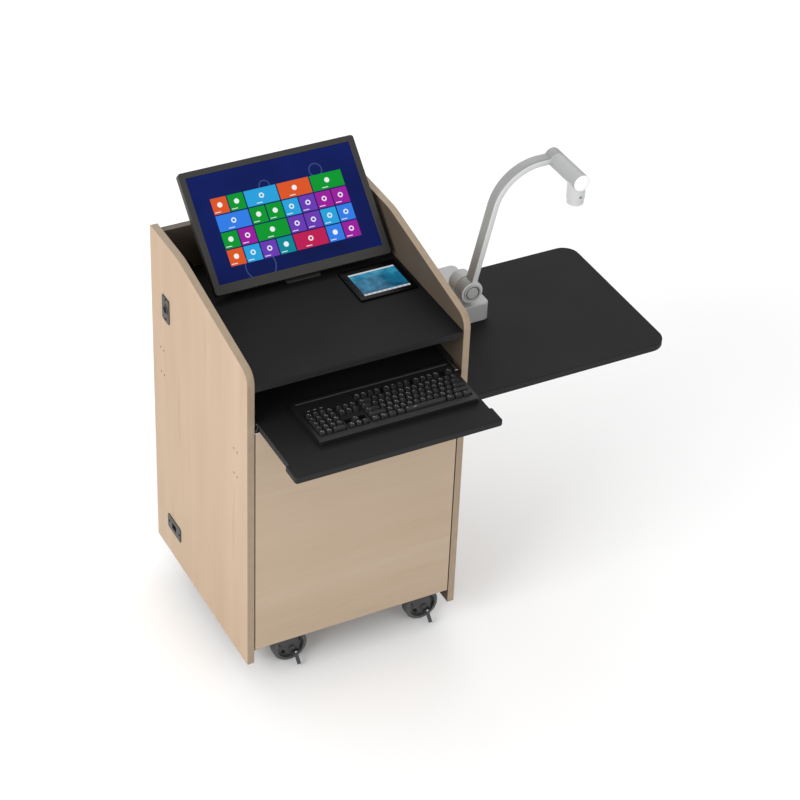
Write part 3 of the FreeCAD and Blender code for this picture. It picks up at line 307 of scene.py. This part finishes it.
def monitor_picture(lower_edge, tilt):
    """Lit panel: dark blue ground, faint rings, and a plain board of coloured squares."""
    finish = Finish("monitor_picture", Roughness=0.2, Specular_IOR_Level=0.06, Emission_Strength=1.0)
    finish.set("Base Color", (0.002, 0.003, 0.008))
    x, y, z = finish.split(finish.point())
    across = x - float(lower_edge[0])
    up = (y - float(lower_edge[1])) * math.sin(tilt) + (z - float(lower_edge[2])) * math.cos(tilt)
    pitch, gap, board_foot, half_board = 0.0455, 0.035, 0.062, 4
    column, row = (across + 10 * pitch) / pitch, (up - board_foot) / pitch
    pair = (column.floor() * 0.5).floor()
    wide = finish.node("TexWhiteNoise", {"noise_dimensions": "2D"},
                       {0: finish.vector(pair, row.floor(), 3.0)}) > 0.72
    merged = wide * pair + (1 - wide) * column.floor()
    chance = finish.node("TexWhiteNoise", {"noise_dimensions": "3D"},
                         {0: finish.vector(merged, row.floor(), wide * 2 + 5.0)})
    colour = finish.ramp(chance, TILE_COLOURS, "CONSTANT")
    inner = finish.inside(column.fract(), gap, 1 - gap)
    inner_pair = finish.inside((column * 0.5).fract(), gap / 2, 1 - gap / 2)
    tile = (wide * inner_pair + (1 - wide) * inner) * finish.inside(row.fract(), gap, 1 - gap)
    board = (finish.inside(across, -half_board * pitch, half_board * pitch)
             * finish.inside(up, board_foot, board_foot + 4 * pitch))
    middle = wide * (column * 0.5).fract() * 2 + (1 - wide) * column.fract()
    off_x = middle - (0.5 + wide * 0.5)
    off_y = row.fract() - 0.54
    spot = (off_x * off_x + off_y * off_y).root()
    glyph = (spot < 0.15) * (1 - (spot < 0.08) * (chance > 0.5))
    label = finish.inside(off_y, -0.41, -0.37) * finish.inside(off_x, -0.4, -0.05)
    sky = finish.ramp(finish.noise(7.0, 2.0) + up, [(0.3, (0.0010, 0.0045, 0.058)),
                                                    (0.95, (0.0020, 0.0100, 0.115))])
    rings = []
    ring_width = 0.0016
    for ring_x, ring_up, radius in ((0.115, 0.255, 0.017), (-0.03, 0.245, 0.014), (-0.105, 0.05, 0.04)):
        far_x, far_y = across - ring_x, up - ring_up
        distance = (far_x * far_x + far_y * far_y).root()
        rings.append(abs(distance - radius) < ring_width)
    ground = finish.mix((rings[0] + rings[1] + rings[2]).clamp() * 0.35, sky, (0.10, 0.16, 0.34))
    lit = finish.mix((glyph + label).clamp() * 0.9, colour, (0.9, 0.92, 0.95))
    finish.set("Emission Color", finish.mix(tile * board, ground, lit))
    return finish.material


def touch_picture(low, high):
    """Lit panel: teal picture between two pale bars, the lower one with small dark buttons."""
    finish = Finish("touch_picture", Roughness=0.14, Specular_IOR_Level=0.06, Emission_Strength=0.9)
    finish.set("Base Color", (0.004, 0.005, 0.006))
    x, y, _ = finish.split(finish.point())
    across = (x - float(low[0])) / float(high[0] - low[0])
    up = (y - float(low[1])) / float(high[1] - low[1])
    cloud = finish.noise(42.0, 4.0)
    deep, mid, shallow = (0.002, 0.055, 0.120), (0.006, 0.145, 0.270), (0.04, 0.30, 0.45)
    sea = finish.ramp(cloud * 0.8 + up * 0.25, [(0.35, deep), (0.55, mid), (0.75, shallow)])
    bars = (up > 0.94) + (up < 0.07)
    buttons = finish.inside((across * 9).fract(), 0.25, 0.75) * finish.inside(up, 0.025, 0.045)
    pale = finish.mix(buttons, (0.62, 0.65, 0.68), (0.12, 0.16, 0.20))
    face = finish.normal()[2] > 0.8
    picture = finish.mix(bars.clamp(), sea, pale)
    finish.set("Emission Color", finish.mix(face, (0, 0, 0), picture))
    return finish.material


TREAD_RADIUS = 0.0372


def wheel_finish(name, centre):
    """Scuffed dark tread around a wheel of dark grey nylon."""
    finish = Finish(name)
    x, _, z = finish.split(finish.point())
    off_x, off_z = x - float(centre[0]), z - float(centre[2])
    radius = (off_x * off_x + off_z * off_z).root()
    scuff = finish.noise(90.0, 4.0)
    tread = finish.mix(scuff, (0.040, 0.042, 0.041), (0.095, 0.098, 0.094))
    nylon = finish.mix(finish.noise(70.0, 2.0), (0.055, 0.056, 0.058), (0.095, 0.096, 0.10))
    rubber = radius > TREAD_RADIUS
    finish.set("Base Color", finish.mix(rubber, nylon, tread))
    finish.set("Roughness", 0.38 + rubber * 0.25 + scuff * 0.1)
    finish.bump(finish.noise(700.0, 2.0), 0.00005)
    return finish.material


# ---------------------------------------------------------------- surfaces
def piece(name, parts, finish, body, smooth=True, stands_for=()):
    """Object from closed parts, each a (rows, columns, 3) array, or (array, uv array)."""
    mesh = bpy.data.meshes.new(name)
    points, faces, maps, start = [], [], [], 0
    for part in parts:
        surface, flat = part if isinstance(part, tuple) else (part, None)
        rows, columns = surface.shape[:2]
        index = np.arange(rows * columns).reshape(rows, columns) + start
        quads = np.stack([index[:-1, :-1], index[:-1, 1:], index[1:, 1:], index[1:, :-1]], -1)
        faces.append(quads.reshape(-1, 4))
        points.append(surface.reshape(-1, 3))
        maps.append(np.zeros((rows * columns, 2)) if flat is None else flat.reshape(-1, 2))
        start += rows * columns
    points, faces, maps = (np.concatenate(group) for group in (points, faces, maps))
    mesh.from_pydata(points.tolist(), [], faces.tolist())
    layer = mesh.uv_layers.new(name="UVMap")
    layer.data.foreach_set("uv", maps[faces.reshape(-1)].astype(np.float32).reshape(-1))
    work = bmesh.new()
    work.from_mesh(mesh)
    bmesh.ops.remove_doubles(work, verts=work.verts, dist=1e-6)
    bmesh.ops.dissolve_degenerate(work, edges=work.edges, dist=1e-7)
    bmesh.ops.recalc_face_normals(work, faces=work.faces)
    work.to_mesh(mesh)
    work.free()
    for face in mesh.polygons:
        face.use_smooth = smooth
    if smooth:
        mesh.set_sharp_from_angle(angle=math.radians(38))
    made = bpy.data.objects.new(name, mesh)
    bpy.context.scene.collection.objects.link(made)
    mesh.materials.append(finish)
    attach(made, body)
    if stands_for:
        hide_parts(*stands_for)
    return made


def eased(profile, radius, steps=4):
    """Polyline whose inner corners become quadratic curves that start and end a radius away."""
    line = np.array(profile, float)
    out = [line[:1]]
    for before, corner, after in zip(line[:-2], line[1:-1], line[2:]):
        reach_in, reach_out = np.linalg.norm(before - corner), np.linalg.norm(after - corner)
        start = corner + (before - corner) * min(0.45, radius / reach_in)
        end = corner + (after - corner) * min(0.45, radius / reach_out)
        t = np.linspace(0, 1, steps)[:, None]
        out.append((1 - t) ** 2 * start + 2 * t * (1 - t) * corner + t ** 2 * end)
    out.append(line[-1:])
    return np.concatenate(out)


AXES = {"x": (1, 2, 0), "y": (2, 0, 1), "z": (0, 1, 2)}


def turned(profile, centre, axis, steps=72, ripple=None):
    """Surface of revolution: (radius, height) pairs, in mm, turned about an axis through centre;
    ripple multiplies the radius as a function of angle and height."""
    radius, height = np.array(profile, float).T * MM
    angle = np.linspace(0, 2 * np.pi, steps + 1)
    first, second, third = AXES[axis]
    spread = np.ones((len(radius), steps + 1))
    if ripple is not None:
        spread = ripple(angle[None, :], height[:, None])
    surface = np.zeros((len(radius), steps + 1, 3))
    surface[..., first] = radius[:, None] * spread * np.cos(angle)
    surface[..., second] = radius[:, None] * spread * np.sin(angle)
    surface[..., third] = height[:, None]
    return surface + np.array(centre)


POINT = 1e-6


def rounded_section(half_wide, half_high, power, steps):
    """Superellipse |a/w|^n + |b/h|^n = 1, as points around it."""
    angle = np.linspace(0, 2 * np.pi, steps + 1)
    cos, sin = np.cos(angle), np.sin(angle)
    return np.stack([half_wide * np.sign(cos) * np.abs(cos) ** (2 / power),
                     half_high * np.sign(sin) * np.abs(sin) ** (2 / power)], -1)


def swept(path, section):
    """Section carried along a path in a plane of constant y: one side along y, the other
    square to the path; closed at both ends by rings that shrink onto the path."""
    along = np.gradient(path, axis=0)
    along /= np.linalg.norm(along, axis=1)[:, None]
    side = np.array([0.0, 1.0, 0.0])
    lift = np.cross(along, side)
    rings = path[:, None] + section[None, :, :1] * side + section[None, :, 1:] * lift[:, None]
    return np.concatenate([np.repeat(path[None, :1], rings.shape[1], 1), rings,
                           np.repeat(path[None, -1:], rings.shape[1], 1)])


def block(low, high, round_off, power, steps):
    """Plate between two corners: superellipse rings that draw in at both faces, each face
    closed by a ring shrunk to a point."""
    low, high = np.array(low, float), np.array(high, float)
    middle, half = (low + high) / 2, (high - low) / 2
    shoulder = 1 - round_off / half[2]
    levels = [(-1, 0.0, POINT), (-1, round_off, 1), (-shoulder, 0.0, 1),
              (shoulder, 0.0, 1), (1, round_off, 1), (1, 0.0, POINT)]
    rings = []
    for level, inset, size in levels:
        ring = rounded_section(half[0] - inset, half[1] - inset, power, steps) * size
        rings.append(np.column_stack([ring + middle[:2], np.full(len(ring), middle[2] + level * half[2])]))
    return np.array(rings)


# ---------------------------------------------------------------- keyboard
KEY_ROWS = {
    "main_keys": [
        [1.25, 1.25, 1.25, 1.25, -6.25, 1.25, 1.25, 1.25],
        [2.75] + [1] * 10 + [2.25],
        [2.25] + [1] * 11 + [1.75],
        [1.5] + [1] * 12 + [1.5],
        [2] + [1] * 13,
    ],
    "space_bar": [[6.25]],
    "number_pad_keys": [[1, 1, 2], [1] * 4, [1] * 4, [1] * 4, [1] * 4],
    "arrow_keys": [[1, 1, 1], [-1, 1, -1]],
    "navigation_keys": [[1, 1, 1], [1, 1, 1]],
    "function_keys": [[1] * 4 + [-0.5] + [1] * 4 + [-0.5] + [1] * 4 + [-1, 1]],
}
KEY_GAP = 0.003
SHEET = 0.0015
DISH_DEPTH = 0.0009
CAP_POINT = 1e-4
LEGEND_CELL = 0.0175


def keycap(low, high, cell):
    """Tapered cap: superellipse rings from a full foot to a narrower top, whose middle is
    dished as the square of the distance from its centre line."""
    middle, half = (low + high) / 2, (high - low) / 2
    levels = [(0.0, 1e-5, CAP_POINT), (0.0, 0.0, 1), (0.6, 0.0005, 1), (0.95, 0.0012, 1),
              (1.0, 0.0017, 1), (1.0, 0.0045, 1), (1.0, 1e-5, CAP_POINT)]
    rings = []
    for level, inset, size in levels:
        ring = rounded_section(half[0] - inset, half[1] - inset, 8.0, 20) * size
        dish = DISH_DEPTH * (1 - (ring[:, 0] / half[0]) ** 2) if level == 1.0 else 0.0
        up = np.full(len(ring), low[2] + level * 2 * half[2]) - dish
        rings.append(np.column_stack([ring + middle[:2], up]))
    surface = np.array(rings)
    flat = np.clip((surface[..., :2] - low[:2]) / LEGEND_CELL, 0.02, 0.98)
    return surface, flat + np.array(cell, float)


def keyboard(finish):
    """Caps laid out row by row; a negative width is a gap.  Each cap stands on a thin plate as
    large as its cell."""
    for name, rows in KEY_ROWS.items():
        low, high = corners(name)
        trim = KEY_GAP / 2 if name == "space_bar" else 0.0
        pitch = (high[1] - low[1] + 2 * trim) / len(rows)
        parts = []
        for number, widths in enumerate(rows):
            x = low[0] - trim
            for place, width in enumerate(widths):
                span = abs(width) * pitch
                if width > 0:
                    y = low[1] - trim + number * pitch + KEY_GAP / 2
                    near = np.array([x + KEY_GAP / 2, y, low[2] + SHEET])
                    far = np.array([x + span - KEY_GAP / 2, y + pitch - KEY_GAP, high[2]])
                    parts.append(keycap(near, far, (place, number)))
                    foot = np.array([x + trim, y - KEY_GAP / 2 + trim, low[2]])
                    top = np.array([x + span - trim, foot[1] + pitch - 2 * trim, low[2] + SHEET])
                    parts.append(block(foot, top, 0.0002, 12.0, 12))
                x += span
        piece(name.replace("_keys", "_keycaps").replace("space_bar", "space_bar_cap"), parts, finish,
              name + "_body", stands_for=(name,))


def keyboard_trim(black, pale):
    """Rounded ridge along the rear of the case, and three small indicator windows."""
    low, high = corners("keyboard_case")
    ridge = block((low[0] + 0.008, high[1] - 0.016, high[2] - 0.0005),
                  (high[0] - 0.008, high[1] - 0.010, high[2] + 0.0022), 0.0010, 10.0, 40)
    piece("keyboard_rear_ridge", [ridge], black, "tray")
    pad_low, pad_high = corners("number_pad_keys")
    windows = []
    for number in range(3):
        corner = np.array([pad_low[0] + 0.014 + 0.017 * number, pad_high[1] + 0.012, high[2] - 0.0004])
        windows.append(block(corner, corner + np.array([0.007, 0.0024, 0.0007]), 0.0003, 6.0, 16))
    piece("keyboard_indicators", windows, pale, "tray")


def pedal_rivets(bright):
    """Domed rivet on the outer side of each brake lever's eye."""
    for place in ("front_left", "front_right"):
        low, high = corners("brake_pedal_" + place)
        eye = pivot("brake_" + place)
        middle = ((low[0] + high[0]) / 2, eye[1] - 0.0036, eye[2] + 0.0014)
        profile = [(0, -1.6), (2.2, -1.3), (3.4, -0.2), (3.4, 0.8), (0, 0.8)]
        dome = turned(eased(profile, 0.8, 3), middle, "y", 32)
        piece("brake_rivet_" + place, [dome], bright, "pedal_" + place)


# ---------------------------------------------------------------- document camera
ARM_LEAN = math.radians(13)
ARM_BEND = 0.132
HUB_CLEAR, HEAD_CLEAR = 0.016, 0.014
FOCUS_RIBS = 36
# Radii in millimetres, for the turned profiles.
HUB_BORE = 6.1
HEAD_BORE = 8.1
FOCUS_BORE = 8.06
LENS_EDGE = 13.9


def arm_path(hub, head, lean, bend, count=48):
    """Straight at the lean from inside the drum, a circular bend, then level into the collar;
    each end stops short of the bore there."""
    turn = np.pi / 2 - lean
    top = hub[0] + (head[2] - bend - hub[2]) * math.tan(lean)
    centre = np.array([top + bend / math.cos(lean), head[2] - bend])
    angle = np.linspace(np.pi / 2 + turn, np.pi / 2, count)
    arc = centre + bend * np.stack([np.cos(angle), np.sin(angle)], -1)
    foot = np.array([hub[0] + HUB_CLEAR * math.sin(lean), hub[2] + HUB_CLEAR * math.cos(lean)])
    lower = np.linspace(foot, arc[0], 16)[:-1]
    level = np.linspace(arc[-1], [head[0] - HEAD_CLEAR, head[2]], 6)[1:]
    return np.concatenate([lower, arc, level])


def camera(grey, arm, shell_paint, pale, white, dark, glass):
    hub, head = pivot("camera_arm_pivot"), pivot("camera_head_roll")
    arm_low, arm_high = corners("camera_arm")
    middle = (arm_low[1] + arm_high[1]) / 2
    depth = (arm_high[1] - arm_low[1]) / 2
    line = arm_path(hub, head, ARM_LEAN, ARM_BEND)
    path = np.column_stack([line[:, 0], np.full(len(line), middle), line[:, 1]])
    bar = swept(path, rounded_section(depth - 0.0006, 0.0098, 4.5, 40))
    length = 2 * depth / MM
    radius = (hub[0] - arm_low[0]) / MM
    drum_profile = [(HUB_BORE, 6), (HUB_BORE, 0.2), (25, 0.2), (25.6, 0), (radius, 0), (radius, length),
                    (HUB_BORE, length), (HUB_BORE, 6)]
    drum = turned(eased(drum_profile, 2.2), (hub[0], arm_low[1], hub[2]), "y")
    collar_centre = (head[0], arm_low[1], head[2])
    collar_profile = [(HEAD_BORE, 20), (HEAD_BORE, 0), (22.4, 0), (22.4, length - 3), (14, length - 3),
                      (0, length - 3)]
    collar = turned(eased(collar_profile, 2.4), collar_centre, "y")
    plug = turned([(0, 24), (HEAD_BORE, 24), (HEAD_BORE, 20)], collar_centre, "y")
    piece("arm_casting", [bar, drum, np.concatenate([plug[:-1], collar])], arm, "arm",
          stands_for=("camera_arm",))

    cap_low, cap_high = corners("camera_hub_cap")
    edge = (cap_high[0] - cap_low[0]) / 2 / MM
    thick = (cap_high[1] - cap_low[1]) / MM
    cap_centre = (hub[0], cap_low[1], hub[2])
    groove_out, groove_in = edge - 4.6, edge - 7.4
    face = [(0, thick), (edge, thick), (edge, 1.2), (edge - 1.5, 0.2), (edge - 4.2, 0.2), (groove_out, 2.4),
            (groove_in, 2.4), (edge - 7.8, 0.4), (edge - 9, 0), (0, 0)]
    piece("hub_cover", [turned(eased(face, 0.5, 3), cap_centre, "y")],
          grey, "arm", stands_for=("camera_hub_cap",))
    shade = [(groove_in, 2.45), (groove_out, 2.45), (groove_out, 2.2), (groove_in, 2.2), (groove_in, 2.45)]
    piece("hub_cover_shadow_ring", [turned(shade, cap_centre, "y")], dark, "arm")

    tube_low, tube_high = corners("camera_head")
    tube = (tube_high[0] - tube_low[0]) / 2 / MM
    run = (arm_low[1] - 0.002 - tube_low[1]) / MM
    total = (tube_high[1] - tube_low[1]) / MM
    seam = [(tube, run - 9), (tube - 0.7, run - 8.6), (tube - 0.7, run - 7.4), (tube, run - 7)]
    shaft = [(8, run), (8, total - 1), (7, total), (0, total)]
    shell = [(0, 0), (tube - 0.4, 0), (tube, 0.4)] + seam + [(tube, run - 0.8), (tube - 1.2, run)] + shaft
    piece("head_tube_shell", [turned(shell, (head[0], tube_low[1], head[2]), "y")], shell_paint, "head",
          stands_for=("camera_head",))
    cap_low, cap_high = corners("camera_head_cap")
    deep = (cap_high[1] - cap_low[1]) / MM
    bow = np.linspace(0, 1, 14)
    dome = np.column_stack([bow * (tube - 0.5), deep * 0.75 * bow ** 3.2])
    rim = [(tube, deep * 0.95), (tube, deep), (0, deep)]
    piece("head_end_cap", [turned(np.concatenate([dome, rim]), (head[0], cap_low[1], head[2]), "y")],
          white, "head", stands_for=("camera_head_cap",))

    ring_low, ring_high = corners("camera_focus_ring")
    outer = (ring_high[0] - ring_low[0]) / 2 / MM
    tall = (ring_high[2] - ring_low[2]) / MM
    axis = ((ring_low[0] + ring_high[0]) / 2, (ring_low[1] + ring_high[1]) / 2, ring_low[2])

    def knurl(angle, height):
        """Ribs on the middle of the ring, fading to nothing at its edges."""
        band = np.clip(1 - np.abs(height / (tall * MM) - 0.55) * 2.6, 0, 1)
        return 1 - 0.03 * band * (0.5 + 0.5 * np.cos(FOCUS_RIBS * angle))

    outside = [(outer - 1, tall), (outer, tall - 1), (outer, tall - 3), (outer, tall * 0.55), (outer, 3),
               (outer, 1), (outer - 1, 0)]
    mouth = [(15.5, 0), (14.2, 1.2), (14.05, 6), (FOCUS_BORE, 8)]
    ring = [(FOCUS_BORE, tall)] + outside + mouth + [(FOCUS_BORE, tall)]
    piece("focus_grip", [turned(ring, axis, "z", 216, knurl)], pale, "focus",
          stands_for=("camera_focus_ring",))
    lens_low, _ = corners("camera_lens")
    bow = np.linspace(0, 1, 12)
    front = np.column_stack([LENS_EDGE * bow, 1.6 * bow ** 2])
    lens = np.concatenate([front, [(LENS_EDGE, 4), (0, 4)]])
    piece("front_lens", [turned(lens, (axis[0], axis[1], lens_low[2]), "z")],
          glass, "focus", stands_for=("camera_lens",))


# ---------------------------------------------------------------- sockets and monitor details
def sockets(black, bright):
    """What is seen inside the two sockets: an insert with pins, and three blades."""
    low, high = corners("upper_port_plate")
    centre = np.array([low[0] + 0.0025, (low[1] + high[1]) / 2, (low[2] + high[2]) / 2])
    insert = turned(eased([(0, 3.5), (6.6, 3.5), (7, 4.2), (7, 16), (0, 16)], 0.6), centre, "x")
    piece("round_socket_insert", [insert], black, "cabinet")
    pins = [turned(eased([(0, 1.2), (0.9, 1.2), (1.1, 2), (1.1, 5), (0, 5)], 0.3),
                   centre + np.array([0, 0.0042 * math.cos(turn), 0.0042 * math.sin(turn)]), "x", 16)
            for turn in (0.5, 2.6, 4.7)]
    piece("round_socket_pins", pins, bright, "cabinet")
    rim = [(9.6, 0), (13.5, 0), (14.5, -0.7), (14, -1.3), (10.2, -1.3), (9.6, -0.6), (9.6, 0)]
    bezel = turned(eased(rim, 0.3), (low[0], centre[1], centre[2]), "x", 96)
    piece("round_socket_bezel", [bezel], black, "cabinet")
    low, high = corners("lower_port_plate")
    middle = (low + high) / 2
    blades = []
    for across, up in ((-0.006, -0.002), (0.006, -0.002), (0.0, 0.003)):
        corner = np.array([low[0] + 0.006, middle[1] + across - 0.001, middle[2] + up - 0.003])
        blades.append(block(corner, corner + np.array([0.0125, 0.002, 0.006]), 0.0004, 6.0, 16))
    piece("inlet_blades", blades, bright, "cabinet")


def leaned(points, lower_edge, tilt):
    """Monitor places (across, behind the face, up its face) turned into the frame."""
    across, behind, up = np.moveaxis(np.array(points, float), -1, 0)
    return np.stack([lower_edge[0] + across,
                     lower_edge[1] + behind * math.cos(tilt) + up * math.sin(tilt),
                     lower_edge[2] - behind * math.sin(tilt) + up * math.cos(tilt)], -1)


def monitor_details(lower_edge, tilt, black):
    """Raised slats across the flat of the monitor's back, above its bracket, and five marks for
    the buttons under its picture."""
    slats = []
    for number in range(5):
        low = np.array([-0.09, 0.0496, 0.2225 + 0.0062 * number])
        slat = block(low, low + np.array([0.18, 0.0016, 0.0034]), 0.0006, 8.0, 24)
        slats.append(leaned(slat, lower_edge, tilt))
    piece("monitor_back_slats", slats, black, "monitor")
    keys = []
    for number in range(5):
        low = np.array([0.14 + 0.014 * number, -0.0006, 0.0105])
        key = block(low, low + np.array([0.0065, 0.0012, 0.002]), 0.0004, 6.0, 16)
        keys.append(leaned(key, lower_edge, tilt))
    piece("monitor_key_marks", keys, black, "monitor")


# ---------------------------------------------------------------- edges of the boards
def break_edges(node, width):
    """Small round on every sharp edge of a frame node, on welded faces."""
    thing = NODES[node]
    weld = thing.modifiers.new("weld", "WELD")
    weld.merge_threshold = 1e-5
    flat = thing.modifiers.new("flat_faces", "DECIMATE")
    flat.decimate_type = "DISSOLVE"
    flat.angle_limit = math.radians(0.5)
    bevel = thing.modifiers.new("broken_edge", "BEVEL")
    bevel.width = width
    bevel.segments = 2
    bevel.limit_method = "ANGLE"
    bevel.angle_limit = math.radians(50)


def paint(finish, *nodes):
    for node in nodes:
        mesh = NODES[node].data
        mesh.materials.clear()
        mesh.materials.append(finish)


# ---------------------------------------------------------------- stage
CAMERA_AT = Vector((-2.54675, -4.50751, 4.4225))
CAMERA_FORWARD = Vector((0.3867, 0.7065, -0.5928))
CAMERA_UP = Vector((0.2459, 0.5405, 0.8046))


def studio():
    """Camera, pale floor, bright surround and three large soft lamps."""
    lens = bpy.data.cameras.new("camera")
    lens.lens = 111.8
    lens.sensor_width = 36
    lens.clip_end = 60
    eye = bpy.data.objects.new("camera", lens)
    right = CAMERA_FORWARD.cross(CAMERA_UP).normalized()
    up = right.cross(CAMERA_FORWARD).normalized()
    turn = Matrix((right, up, -CAMERA_FORWARD.normalized())).transposed()
    eye.matrix_world = Matrix.Translation(CAMERA_AT) @ turn.to_4x4()
    bpy.context.scene.collection.objects.link(eye)
    bpy.context.scene.camera = eye

    world = bpy.data.worlds.new("surround")
    bpy.context.scene.world = world
    world.use_nodes = True
    world.node_tree.nodes["Background"].inputs[0].default_value = (1, 1, 1, 1)
    world.node_tree.nodes["Background"].inputs[1].default_value = 0.85
    bpy.context.scene.view_settings.view_transform = "Standard"
    reach = 30.0
    mesh = bpy.data.meshes.new("floor")
    mesh.from_pydata([(-reach, -reach, 0), (reach, -reach, 0), (reach, reach, 0), (-reach, reach, 0)], [],
                     [(0, 1, 2, 3)])
    floor = bpy.data.objects.new("floor", mesh)
    finish = Finish("pale_floor", Roughness=0.7)
    finish.set("Base Color", finish.mix(finish.noise(2.0), (0.93, 0.93, 0.93), (0.95, 0.95, 0.95)))
    mesh.materials.append(finish.material)
    bpy.context.scene.collection.objects.link(floor)
    target = Vector((0, 0, 0.6))
    for name, place, size, power in (("key", (-4.6, -1.6, 2.9), 3.0, 170.0),
                                     ("fill", (1.6, -4.8, 3.4), 3.0, 30.0),
                                     ("back", (1.5, 3.6, 3.8), 3.0, 50.0)):
        light = bpy.data.lights.new(name, "AREA")
        light.size = size
        light.energy = power
        lamp = bpy.data.objects.new(name, light)
        lamp.location = place
        lamp.rotation_euler = (target - Vector(place)).to_track_quat("-Z", "Y").to_euler()
        bpy.context.scene.collection.objects.link(lamp)


# ---------------------------------------------------------------- everything together
def finishes():
    light, dark, band = (0.430, 0.310, 0.210), (0.375, 0.263, 0.170), (0.33, 0.25, 0.17)
    # the last argument, 1 or -1, picks the inner face that gets the painted shade
    left = maple("maple_left", "z", light, dark, band, "x", 1)
    right = maple("maple_right", "z", light, dark, band, "x", -1)
    door_light, door_dark, door_band = (0.440, 0.340, 0.245), (0.400, 0.300, 0.210), (0.32, 0.245, 0.17)
    across = maple("maple_across", "x", door_light, door_dark, door_band, "y", streaks=0.25)
    back = maple("back_board", "z", light, dark, (0.12, 0.09, 0.06), "y", -1)
    # painted shade: the bottom panel is a darker copy of the maple, standing for the shade inside the
    # cabinet
    base = maple("base_board", "x", (0.19, 0.15, 0.11), (0.155, 0.122, 0.09), (0.12, 0.09, 0.06), "z")
    # the third colour of each laminate is the painted edge highlight
    black_board = laminate("black_laminate", (0.0085, 0.0085, 0.009), (0.020, 0.020, 0.021))
    dark_board = laminate("worktop_laminate", (0.0040, 0.0040, 0.0043), (0.016, 0.016, 0.017))
    black = moulded("black_plastic", (0.018, 0.0175, 0.017), 0.42)
    case = moulded("keyboard_plastic", (0.0085, 0.0085, 0.0088), 0.46, shine=0.25)
    bezel = moulded("bezel_plastic", (0.030, 0.029, 0.027), 0.45, shine=0.3)
    gloss = moulded("gloss_black", (0.0012, 0.0012, 0.0013), 0.26, depth=0.0, shine=0.05)
    grey = moulded("camera_grey", (0.42, 0.43, 0.43), 0.45, wear=0.06)
    # painted light: the arm's faces that look along y are painted lighter than its other faces
    arm = moulded("camera_arm_paint", (0.27, 0.275, 0.27), 0.42, wear=0.08, side=(0.60, 0.615, 0.61))
    tube = moulded("camera_tube", (0.36, 0.37, 0.365), 0.42, wear=0.05)
    pale = moulded("camera_pale", (0.54, 0.55, 0.55), 0.42, wear=0.05)
    white = moulded("camera_white", (0.90, 0.90, 0.90), 0.38, wear=0.02)
    dark = moulded("camera_dark", (0.045, 0.045, 0.048), 0.5)
    foot_paint = metal("foot_paint", (0.040, 0.040, 0.038), 0.5, metallic=0.0, grain=500.0)
    button = moulded("camera_button_grey", (0.20, 0.20, 0.205), 0.4)
    glass = moulded("lens_glass", (0.010, 0.012, 0.022), 0.06, depth=0.0, coat=1.0)
    zinc = metal("zinc", (0.60, 0.60, 0.62), 0.36, (1, 0.1, 1))
    powder = metal("black_metal", (0.016, 0.016, 0.017), 0.48, metallic=0.0, grain=500.0)
    fork_paint = metal("caster_paint", (0.036, 0.037, 0.040), 0.42, metallic=0.0, grain=400.0)
    low, high = corners("monitor_bezel")
    tilt = math.radians(47.2)
    bezel_depth = 0.018
    lower_edge = np.array([(low[0] + high[0]) / 2, low[1], low[2] + bezel_depth * math.sin(tilt)])

    paint(left, "left_side_panel")
    paint(right, "right_side_panel")
    paint(across, "front_door")
    paint(back, "back_panel")
    paint(base, "bottom_panel")
    paint(dark_board, "worktop")
    paint(black_board, "keyboard_tray", "shelf_board")
    paint(case, "keyboard_case")
    paint(black, "upper_port_plate", "lower_port_plate", "door_catch")
    paint(bezel, "monitor_bezel", "monitor_back_shell")
    paint(gloss, "touch_panel_frame", "touch_panel_keys")
    paint(powder, "port_plate_screws", "slide_rails", "bracket_wall_legs", "bracket_arms",
          "bracket_struts", "monitor_bracket", "monitor_foot_screws")
    paint(foot_paint, "monitor_foot")
    paint(zinc, "door_pivots", "catch_plate", "tray_runners", "bracket_wall_bolts", "shelf_screws",
          "caster_plates", "caster_bolts")
    paint(grey, "camera_base", "camera_hub")
    paint(pale, "camera_barrel")
    paint(button, "camera_button")
    for place in ("front_left", "front_right", "rear_left", "rear_right"):
        paint(fork_paint, "caster_fork_" + place)
        wheel_low, wheel_high = corners("caster_wheel_" + place)
        paint(wheel_finish("wheel_" + place, (wheel_low + wheel_high) / 2), "caster_wheel_" + place)
        if place.startswith("front"):
            paint(fork_paint, "brake_pedal_" + place)
    paint(monitor_picture(lower_edge, tilt), "monitor_screen")
    paint(touch_picture(*corners("touch_panel_glass")), "touch_panel_glass")
    keyboard(keycap_plastic())
    keyboard_trim(bezel, button)
    pedal_rivets(zinc)
    camera(grey, arm, tube, pale, white, dark, glass)
    sockets(black, zinc)
    monitor_details(lower_edge, tilt, black)


EDGES = {
    0.0012: ("left_side_panel", "right_side_panel", "front_door"),
    0.0020: ("worktop", "shelf_board"),
    0.0010: ("keyboard_tray", "monitor_bezel", "monitor_back_shell", "camera_base"),
    0.0006: ("upper_port_plate", "lower_port_plate", "port_plate_screws", "monitor_foot",
             "monitor_bracket", "bracket_wall_bolts", "shelf_screws", "caster_bolts", "touch_panel_frame",
             "monitor_foot_screws"),
}

studio()
finishes()
for edge_width, edge_nodes in EDGES.items():
    for edge_node in edge_nodes:
        break_edges(edge_node, edge_width)

import json
